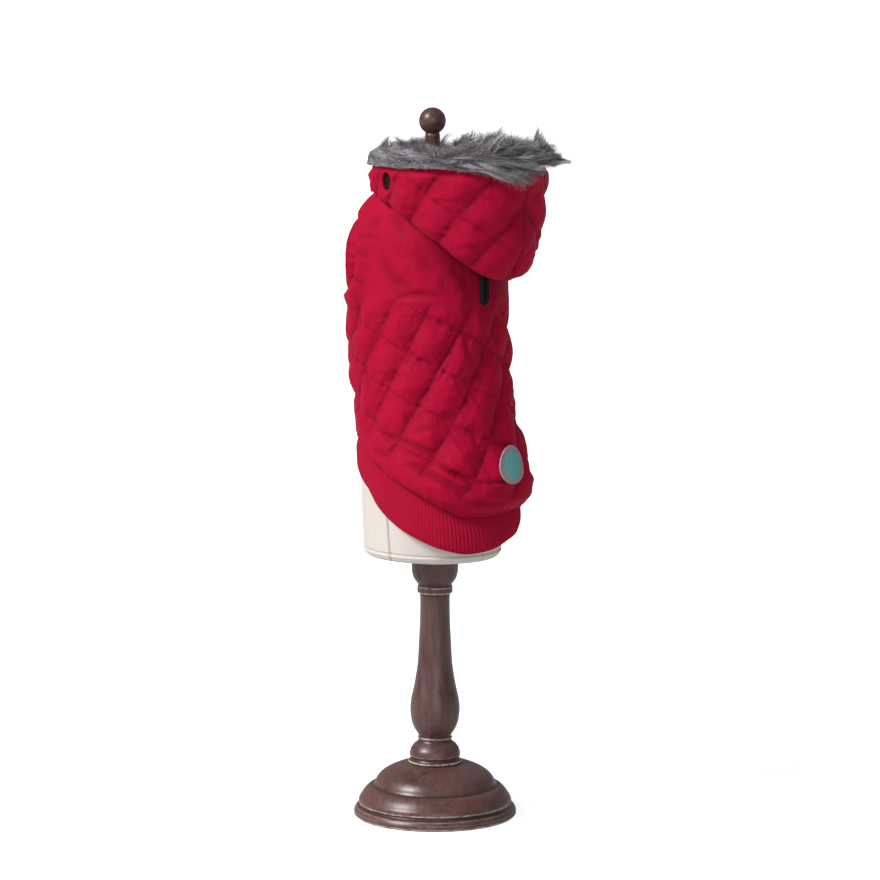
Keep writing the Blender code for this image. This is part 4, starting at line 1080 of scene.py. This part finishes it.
def leg_cuff(name, mirrored):
    """A short gathered sleeve: oval rings carried out from the leg hole, with gathers that run along it.

    The rings go out over the coat's face, turn in at the elastic and come back inside. A sleeve stands out
    most at its front and back, and least at its top and bottom.
    """
    rings, around, gathers = 40, 176, 17
    place = np.arange(len(SLEEVE["out"]))
    fine = np.linspace(0, place[-1], rings)
    across, up, out = [smooth(fine, place, SLEEVE[key]) for key in ("across", "up", "out")]
    turn = np.arange(around)[:, None] * 2 * np.pi / around
    fullness = np.sin(np.pi * np.clip(fine / 4.6, 0, 1))
    gather = 0.6 * MM * np.sin(turn * gathers + 1.5 * np.sin(turn * 3)) * fullness
    gather = gather + 0.5 * MM * drift(turn * 9, fine / 1.4, 91)
    angle = SIDE_SEAM_ANGLE + np.degrees((across + gather) * np.cos(turn) / (77 * MM))
    height = LEG_HOLE["height"] + (up + gather) * np.sin(turn)
    base = at_place(angle, ring_radius(BODY, angle, height), height)
    outward = np.array([*along(SIDE_SEAM_ANGLE), 0.0])
    fuller_in_middle = 1.0 + 0.04 * np.sin(turn) - 0.42 * np.sin(turn) ** 2
    reach = SEAM_GAP + (out - SEAM_GAP) * fuller_in_middle
    points = base + reach[..., None] * outward
    uv = np.stack(np.broadcast_arrays(turn * 31 * MM, fine * 4 * MM), axis=-1)
    # The line value here darkens a band round the sleeve just before its outer turn.
    line = 0.7 * bell(fine - 3.1, 0.28) * np.ones_like(turn)
    if mirrored:
        points, uv, line = points[:, ::-1] * MIRROR, uv[:, ::-1], line[:, ::-1]
    return tube(name, points, RED, uv, {"line": line})


def welt_outline(half_width, half_height, count):
    """A long oval with blunt ends, as angles round the coat and heights round the leash slot."""
    turn = np.arange(count)[:, None] * 2 * np.pi / count
    reach = np.sign(np.cos(turn)) * np.abs(np.cos(turn)) ** 0.5
    rise = np.sign(np.sin(turn)) * np.abs(np.sin(turn)) ** 0.6
    return SLOT["angle"] + np.degrees(half_width * reach / (76 * MM)), SLOT["height"] + half_height * rise


def slot_binding(finish):
    """The black binding round the leash slot: two padded lips that leave a narrow slit.

    A section from the slit out to the binding's edge is carried round the slot, with a slight ripple.
    """
    around = 72
    outer = np.array([WELT["width"], WELT["length"]]) / 2
    slit = np.array([WELT["slit"], WELT["length"] - WELT["width"] + WELT["slit"]]) / 2
    size = slit + WELT_LIPS[:, :1] * (outer - slit)
    angle, height = welt_outline(size[:, 0], size[:, 1], around)
    step, out, up = np.arange(around)[:, None], WELT_LIPS[None, :, 0], WELT_LIPS[None, :, 1]
    ripple = 0.12 * MM * drift(step / 1.7, out * 3, 13)
    lift = 2 * SEAM_GAP + up * (WELT["thickness"] + ripple)
    points = at_place(angle, panel_radius(angle, height) + lift, height)
    uv = np.stack(np.broadcast_arrays(step * 1.5 * MM, out * 6 * MM), axis=-1)
    return tube("slot_binding", points, finish, uv)


def label_patch(finish):
    """The oval label: a thin plate with a raised edge, bent round the crests of the quilting.

    Ovals of growing size lie below it and shrinking ones above it, each at its own lift off the cloth. The
    teal oval stands where the distance from the middle, in the oval's own halves, is under one.
    """
    seat, teal_width, teal_height = 3.3 * MM, 0.62, 0.74
    rim_size, rim_lift = [0.97, 1.0, 1.0, 0.985, 0.95, 0.90, 0.87], [0.0, 0.2, 0.8, 1.1, 1.15, 1.05, 0.82]
    size = np.concatenate([[0.25, 0.6], rim_size, np.linspace(0.84, 0.02, 12)])
    lift = np.concatenate([[0, 0], rim_lift, np.full(12, 0.78)])
    turn = np.arange(96)[:, None] * 2 * np.pi / 96
    across = size * LABEL["width"] / 2 * np.cos(turn)
    rise = size * LABEL["length"] / 2 * np.sin(turn)
    angle = LABEL["angle"] + np.degrees(across / (92 * MM)) + LABEL["lean"] * rise
    height = LABEL["height"] + rise
    radius = panel_radius(angle, height) + seat + lift * LABEL["thickness"]
    size = np.broadcast_to(size, angle.shape)
    middle = 0.5 + 2 * (1 - size * np.hypot(np.cos(turn) / teal_width, np.sin(turn) / teal_height))
    rim = bell(size - 0.95, 0.05)
    uv = np.stack([across, rise], axis=-1)
    return stack("label_patch", at_place(angle, radius, height).transpose(1, 0, 2), finish,
                 uv.transpose(1, 0, 2), {"middle": middle.T, "rim": rim.T})


# ---- sewing ----

def stitches(name, middles, ahead, outward, finish, length=2.4 * MM, thickness=0.22 * MM):
    """Short stitches: each a spindle of four steps along its seam that dips into the cloth at both ends."""
    steps = np.linspace(-0.5, 0.5, 4)
    bend = np.array([-1.1, 0.35, 0.35, -1.1]) * thickness
    paths = middles[:, None] + ahead[:, None] * (steps * length)[None, :, None]
    paths = paths + outward[:, None] * bend[None, :, None]
    width = np.broadcast_to(np.array([0.5, 1.0, 1.0, 0.5]) * thickness, paths.shape[:2])
    return strands(name, paths, np.cross(outward, ahead), outward, width, finish, sides=4)


def unit(vectors):
    """The same directions, each one long."""
    return vectors / np.maximum(np.linalg.norm(vectors, axis=-1, keepdims=True), 1e-9)


def seam_run(angle, height, radius, pitch):
    """Places for stitches at an even pitch along a line on a surface, and the seam's directions there."""
    points = at_place(angle, radius, height)
    length = np.concatenate([[0], np.cumsum(np.linalg.norm(np.diff(points, axis=0), axis=1))])
    at = np.arange(pitch / 2, length[-1], pitch)
    middles = np.stack([np.interp(at, length, points[:, k]) for k in range(3)], axis=-1)
    nearby = np.stack([np.interp(at + 0.5 * MM, length, points[:, k]) for k in range(3)], axis=-1)
    turn = np.interp(at, length, angle)
    outward = at_place(turn, np.ones_like(turn), np.zeros_like(turn))
    ahead = unit(nearby - middles)
    outward = unit(outward - ahead * np.sum(outward * ahead, axis=-1, keepdims=True))
    return middles, ahead, outward


def quilting_runs():
    """The stitched lines of both families on the body, as runs of places on the cloth.

    A run is kept where the cloth is quilted and clear of the hem and the side seams.
    """
    steep_range, gentle_range = np.linspace(-3.2, 4.6, 420), np.linspace(-5, 9, 900)
    runs = [quilt_place(BODY_QUILT, np.full_like(steep_range, k), steep_range) for k in range(-4, 9)]
    runs += [quilt_place(BODY_QUILT, gentle_range, np.full_like(gentle_range, k)) for k in range(-3, 5)]
    kept = []
    for angle, height in runs:
        held, quilted = padding(angle, height)
        good = (height > read_round(HEM, "panel_edge", angle) + 8 * MM) & (held * quilted > 0.6)
        good &= (angle > SIDE_SEAM_ANGLE + 3) & (angle < 357 - SIDE_SEAM_ANGLE)
        cuts = np.flatnonzero(np.diff(np.concatenate([[0], good.astype(int), [0]])))
        kept += [(angle[a:b], height[a:b]) for a, b in zip(cuts[::2], cuts[1::2]) if b - a > 8]
    return kept


def body_stitches(finish):
    """Every quilting stitch on the back panel, in one mesh."""
    parts = []
    for angle, height in quilting_runs():
        radius, _ = body_surface(angle, height)
        parts.append(seam_run(angle, height, radius + 0.1 * MM, pitch=3.6 * MM))
    middles, ahead, outward = [np.concatenate(column) for column in zip(*parts)]
    return stitches("quilting_stitches", middles, ahead, outward, finish)


def hem_stitches(finish):
    """The top-stitching that runs round just above the rib band."""
    angle = np.linspace(42, 318, 900)
    height = read_round(HEM, "panel_edge", angle) + 3.2 * MM
    radius, _ = body_surface(angle, height)
    middles, ahead, outward = seam_run(angle, height, radius + 0.2 * MM, pitch=3.4 * MM)
    return stitches("hem_stitches", middles, ahead, outward, finish)


def binding_stitches(finish):
    """The row of stitches round the slot's binding."""
    angle, height = welt_outline(WELT["width"] * 0.40, WELT["length"] * 0.455, 400)
    angle, height = angle.ravel(), height.ravel()
    radius = panel_radius(angle, height) + 2 * SEAM_GAP + WELT["thickness"]
    middles, ahead, outward = seam_run(angle, height, radius + 0.05 * MM, pitch=2.6 * MM)
    return stitches("binding_stitches", middles, ahead, outward, finish, length=1.9 * MM, thickness=0.2 * MM)


# ---- the fur ----

def strip_section(angle, share):
    """How far out and up the fur strip's face is, by the share of the way over the mouth's edge.

    The strip stands out less where the hair is short, and hangs over the edge only where the hair does.
    """
    seat = FUR_STRIP["out"][0]
    length = np.linspace(0, 1, len(FUR_STRIP["out"]))
    out, up = smooth(share, length, FUR_STRIP["out"]), smooth(share, length, FUR_STRIP["up"])
    fuller = 0.45 + 0.55 * np.clip(read_round(FUR_REACH, "share_out", angle), 0, 1)
    up = np.where(up < 0, up * read_round(FUR_REACH, "share_down", angle), up)
    return np.where(out > seat, seat + (out - seat) * fuller, out), up


def hair_edge(angle, share):
    """How far out and up the tips of the hair reach, by the share of the way over from its low edge.

    The outline's parts that lie out, up and down from the strip are stretched by the table's shares, and two
    waves round the mouth make them uneven.
    """
    seat = 2.6 * MM
    length = np.linspace(0, 1, len(FUR_EDGE["out"]))
    out, up = smooth(share, length, FUR_EDGE["out"]), smooth(share, length, FUR_EDGE["up"])
    wave = 1 + 0.10 * np.sin(np.radians(angle * 9)) + 0.07 * np.sin(np.radians(angle * 16 + 40))
    reach = {key: read_round(FUR_REACH, key, angle) * wave for key in FUR_REACH if key != "angle"}
    out = np.where(out > seat, seat + (out - seat) * reach["share_out"], out)
    below = np.minimum(up, 0) * reach["share_down"]
    above = seat + (up - seat) * reach["share_up"]
    return out, np.where(up > seat, above, np.where(up < 0, below, up))


def by_mouth(angle, out, up):
    """Points in space from angles and from how far out and up they lie from the hood's mouth."""
    return at_place(angle, mouth_radius(angle) + out, mouth_height(angle) + up)


def fur_strip(finish):
    """The strip of fur cloth folded over the mouth's edge: its section carried round the mouth.

    The inner side of the fold is the same section, drawn in towards its middle by the strip's thickness.
    """
    around, section, thickness = 240, 26, 1.2 * MM
    angle = np.arange(around)[:, None] * 360 / around + np.zeros((1, section))
    share = np.linspace(0, 1, section)[None] + np.zeros((around, 1))
    out, up = strip_section(angle, share)
    middle_out, middle_up = 0.2 * MM, 2.2 * MM
    thinner = 1 - thickness / np.hypot(out - middle_out, up - middle_up)
    outer = by_mouth(angle, out, up)
    inner = by_mouth(angle, middle_out + (out - middle_out) * thinner, middle_up + (up - middle_up) * thinner)
    uv = np.stack([angle * 1.5 * MM, share * 30 * MM], axis=-1)
    points = np.concatenate([outer, inner[:, ::-1]], axis=1)
    uv = np.concatenate([uv, uv[:, ::-1]], axis=1)
    return tube("fur_strip", points, finish, uv, {"tone": np.full(points.shape[:2], 0.25)})


def fur_pile(name, count, seed, finish):
    """Long hair, in tufts: every strand of a tuft bends from its own root on the strip towards one tip.

    A strand first rises from the strip towards the ring's outline and then lies over sideways. Its share of
    the way to the outline, its sideways run and its sag are drawn by chance round the values of the tables.
    """
    chance = np.random.default_rng(seed)
    in_tuft, steps = 20, 7
    tufts = count // in_tuft
    tuft = np.repeat(np.arange(tufts), in_tuft)

    def spread(by_tuft, by_strand):
        """A chance value for each strand: one part that its tuft shares and one part of its own."""
        return (chance.normal(0, by_tuft, tufts)[tuft] + chance.normal(0, by_strand, len(tuft)))[:, None]

    at_tuft = chance.random((tufts, 2))[tuft]
    angle = at_tuft[:, :1] * 360 + spread(0, 1.8)
    share = at_tuft[:, 1:] ** 0.9
    root_out, root_up = strip_section(angle, np.clip(share + spread(0, 0.05), 0.01, 0.99))
    lie = read_round(FUR_LIE, "side", angle + spread(7, 0))
    lie = lie * (1 + spread(0.3, 0.08)) + spread(11 * MM, 2 * MM)
    turn_by = np.degrees(lie / mouth_radius(angle))
    tip_out, tip_up = hair_edge(angle + turn_by, np.clip(share + spread(0.11, 0.03), 0, 1))

    shortest, longer_by, stray_share, stray_by, longest = 0.42, 0.66, 0.08, 0.45, 1.15
    far = shortest + longer_by * chance.random(tufts)[tuft, None] + spread(0.08, 0.10)
    stray = chance.random((len(tuft), 1)) > 1 - stray_share
    far = np.minimum(far + stray_by * stray * chance.random((len(tuft), 1)), longest)
    ahead = np.linspace(0, 1, steps)[None]
    rise = (1 - (1 - ahead) ** 1.7) * far
    waver = spread(0.8 * MM, 0.8 * MM) * np.sin(ahead * 6 + spread(1, 2))
    out = root_out + (tip_out - root_out) * rise + waver
    sag = read_round(FUR_LIE, "sag", angle) * (1.5 - 1.2 * share)
    up = root_up + (tip_up - root_up) * rise - sag * ahead**2.2
    up = up + spread(1.2 * MM, 0.9 * MM) * np.sin(ahead * 5 + 1) * ahead
    path = by_mouth(angle + turn_by * ahead**1.25, out, up)

    heading = unit(path[:, -1] - path[:, 0])
    nearly_up = np.array([0.02, 0.01, 1.0])
    sideways = unit(np.cross(heading, nearly_up))
    width = 0.21 * MM * (0.6 + 0.8 * chance.random((len(tuft), 1))) * (1.0 - 0.85 * ahead**1.5)
    tone = np.clip(0.31 + spread(0.22, 0.17) + 0.38 * ahead, 0.0, 1.0)
    return strands(name, path, sideways, np.cross(sideways, heading), width, finish, {"tone": tone})


# ---- the form and its stand ----

def form_linen(finish):
    """The linen-covered form: its rings, with seams as narrow ridges beside a sewn line, and an edge cord.

    Fainter seams run down the front and the back. The cord is a bell in height with a crease just above it.
    The crease is darkened with painted shade.
    """
    around, cord_height, crease_height = 240, 272.2 * MM, 274.8 * MM
    angle = (np.arange(around) * 360 / around)[None]
    low, middle, high = np.linspace(266.8, 280, 30), np.linspace(281, 640, 150), np.linspace(641, 658, 24)
    height = np.concatenate([low, middle, high])[:, None] * MM
    radius = ring_radius(FORM, angle, height)
    seam = np.zeros(np.broadcast(angle, height).shape)
    for place, strength in ((93.0, 1.0), (267.0, 1.0), (180.0, 0.55), (0.0, 0.55)):
        off = ((angle - place + 180) % 360 - 180) * 1.18
        radius = radius + strength * MM * (0.5 * bell(off + 3.0, 2.4) - 0.7 * bell(off, 0.9))
        seam = np.maximum(seam, strength * bell(off, 0.9))
    cord = bell(height - cord_height, 1.5 * MM)
    crease = bell(height - crease_height, 0.8 * MM)
    radius = radius + 0.9 * MM * cord - 0.6 * MM * crease
    radius = radius + 0.25 * MM * drift(angle / 15, height / (30 * MM), 3) * (1 - cord)
    # Painted shade in the crease, carried in the seam value along with the sewn lines.
    seam = np.maximum(seam, 0.55 * crease)
    uv = np.stack(np.broadcast_arrays(angle * 1.2 * MM, height), axis=-1)
    return stack("form_linen", at_place(angle, radius, height), finish, uv, {"seam": seam})


def turned(name, profile, finish, shift=(0.0, 0.0, 0.0), sides=128):
    """A piece turned on the lathe: its profile, drawn smoothly by length, carried round the axis.

    How sharply the profile bends at each place marks the edges that stick out as worn and the inner corners
    as hollow.
    """
    fineness, worn_from, worn_run, hollow_run = 0.7 * MM, 160, 320, 260
    radius, height = profile["radius"], profile["height"]
    length = np.concatenate([[0], np.cumsum(np.hypot(np.diff(radius), np.diff(height)))])
    at = np.unique(np.concatenate([np.arange(0, length[-1], fineness), length]))
    radius, height = smooth(at, length, radius), smooth(at, length, height)
    heading = np.unwrap(np.arctan2(np.gradient(height, at), np.gradient(radius, at)))
    curve = np.convolve(np.gradient(heading, at), np.ones(3) / 3, mode="same")[:, None] * np.ones(sides)
    worn = np.clip((curve - worn_from) / worn_run, 0, 1)
    hollow = np.clip(-curve / hollow_run, 0, 1)
    angle = np.arange(sides) * 360 / sides
    rings = at_place(angle[None], radius[:, None], height[:, None]) + np.array(shift)
    uv = np.stack(np.broadcast_arrays(angle[None] / 360, at[:, None]), axis=-1)
    return stack(name, rings, finish, uv, {"worn": worn, "hollow": hollow}, smooth_to=35.0)


def ball_profile():
    """The finial's post and ball in one profile: the ball's circle starts where the post ends."""
    seat = np.arcsin((FINIAL_POST["height"][-1] - BALL["height"]) / BALL["radius"])
    swing = np.linspace(seat, np.radians(88), 26)
    ball_height = BALL["height"] + BALL["radius"] * np.sin(swing)
    return {
        "height": np.concatenate([FINIAL_POST["height"][:-1], ball_height]),
        "radius": np.concatenate([FINIAL_POST["radius"][:-1], BALL["radius"] * np.cos(swing)]),
    }


# ---- putting it together ----

def dress():
    red_thread = sewing_thread("red_thread", (0.31, 0.0012, 0.020), (0.40, 0.0024, 0.031))
    black_thread = sewing_thread("black_thread", (0.02, 0.018, 0.02), (0.06, 0.055, 0.06))
    wood = walnut()
    back = back_panel()
    chest = chest_panel()
    hoods = [hood_half("hood_left_cloth", False), hood_half("hood_right_cloth", True)]
    band = rib_band()
    cuffs = [leg_cuff("leg_cuff_left_cloth", False), leg_cuff("leg_cuff_right_cloth", True)]
    slot = slot_binding(binding())
    patch = label_patch(label_weave())
    quilting = body_stitches(red_thread)
    hem = hem_stitches(red_thread)
    slot_thread = binding_stitches(black_thread)
    strip = fur_strip(HAIR)
    pile = [fur_pile("fur_pile_%d" % k, 4700, 101 + k, HAIR) for k in range(6)]
    form = form_linen(linen())
    cap = turned("neck_cap_wood", NECK_CAP, wood)
    ball = turned("finial_wood", ball_profile(), wood, shift=FINIAL_SHIFT, sides=96)
    column = turned("column_wood", STAND_COLUMN, wood)
    base = turned("base_wood", STAND_BASE, wood, sides=192)

    stands_for = (
        (back, "back_panel"), (chest, "chest_panel"), (hoods[0], "hood_left"), (hoods[1], "hood_right"),
        (band, "rib_hem"), (cuffs[0], "leg_cuff_left"), (cuffs[1], "leg_cuff_right"), (slot, "slot_welt"),
        (patch, "label"), (strip, "fur_trim"), (form, "form_torso"), (cap, "neck_cap"), (ball, "finial"),
        (column, "stand_column"), (base, "stand_base"),
    )
    for piece, node in stands_for:
        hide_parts(node)


def studio():
    """A pale round floor, two soft suns from the camera's left, and even light all round.

    To the lens alone the sky is white, so that the floor runs into it with no line between them.
    """
    floor_radius, floor_sides = 60, 64
    turn = np.arange(floor_sides) * 2 * np.pi / floor_sides
    ring = floor_radius * np.stack([np.cos(turn), np.sin(turn), np.zeros(floor_sides)], axis=-1)
    mesh = bpy.data.meshes.new("floor")
    mesh.from_pydata(ring.tolist(), [], [list(range(floor_sides))])
    mesh.materials.append(floor_paper())
    floor = bpy.data.objects.new("floor", mesh)
    floor.location.z = -0.2 * MM
    bpy.context.scene.collection.objects.link(floor)

    sky_light, white_sky = 0.25, 1.0
    world = bpy.data.worlds.new("studio")
    world.use_nodes = True
    nodes, links = world.node_tree.nodes, world.node_tree.links
    nodes["Background"].inputs["Color"].default_value = (1, 1, 1, 1)
    seen = nodes.new("ShaderNodeLightPath")
    brightness = nodes.new("ShaderNodeMath")
    brightness.operation = "MULTIPLY_ADD"
    brightness.inputs[1].default_value = white_sky - sky_light
    brightness.inputs[2].default_value = sky_light
    links.new(seen.outputs["Is Camera Ray"], brightness.inputs[0])
    links.new(brightness.outputs[0], nodes["Background"].inputs["Strength"])
    bpy.context.scene.world = world

    for name, energy, spread, tilt, heading in (("key", 3.5, 20, 51, 75), ("front", 0.50, 30, 80, 142)):
        light = bpy.data.lights.new(name, "SUN")
        light.energy = energy
        light.angle = math.radians(spread)
        lamp = bpy.data.objects.new(name, light)
        lamp.rotation_euler = (math.radians(tilt), 0, math.radians(heading))
        bpy.context.scene.collection.objects.link(lamp)


def camera():
    """The photograph's view: 136 degrees round, 8.3 degrees down, from four metres."""
    turn, pitch, distance, aim_height = math.radians(136), math.radians(8.3), 4.0, 0.3821
    picture_pixels, axis_pixels_left_of_middle = 880, 5
    pixels_per_radian = distance / MM
    lens = bpy.data.cameras.new("camera")
    lens.sensor_width = 36
    lens.lens = pixels_per_radian / picture_pixels * lens.sensor_width
    lens.shift_x = axis_pixels_left_of_middle / picture_pixels
    lens.clip_end = 200
    level = distance * math.cos(pitch)
    item = bpy.data.objects.new("camera", lens)
    item.location = (level * math.sin(turn), -level * math.cos(turn), aim_height + distance * math.sin(pitch))
    item.rotation_euler = (math.pi / 2 - pitch, 0, turn)
    bpy.context.scene.collection.objects.link(item)
    bpy.context.scene.camera = item


camera()
dress()
studio()
bpy.context.scene.view_settings.view_transform = "Standard"
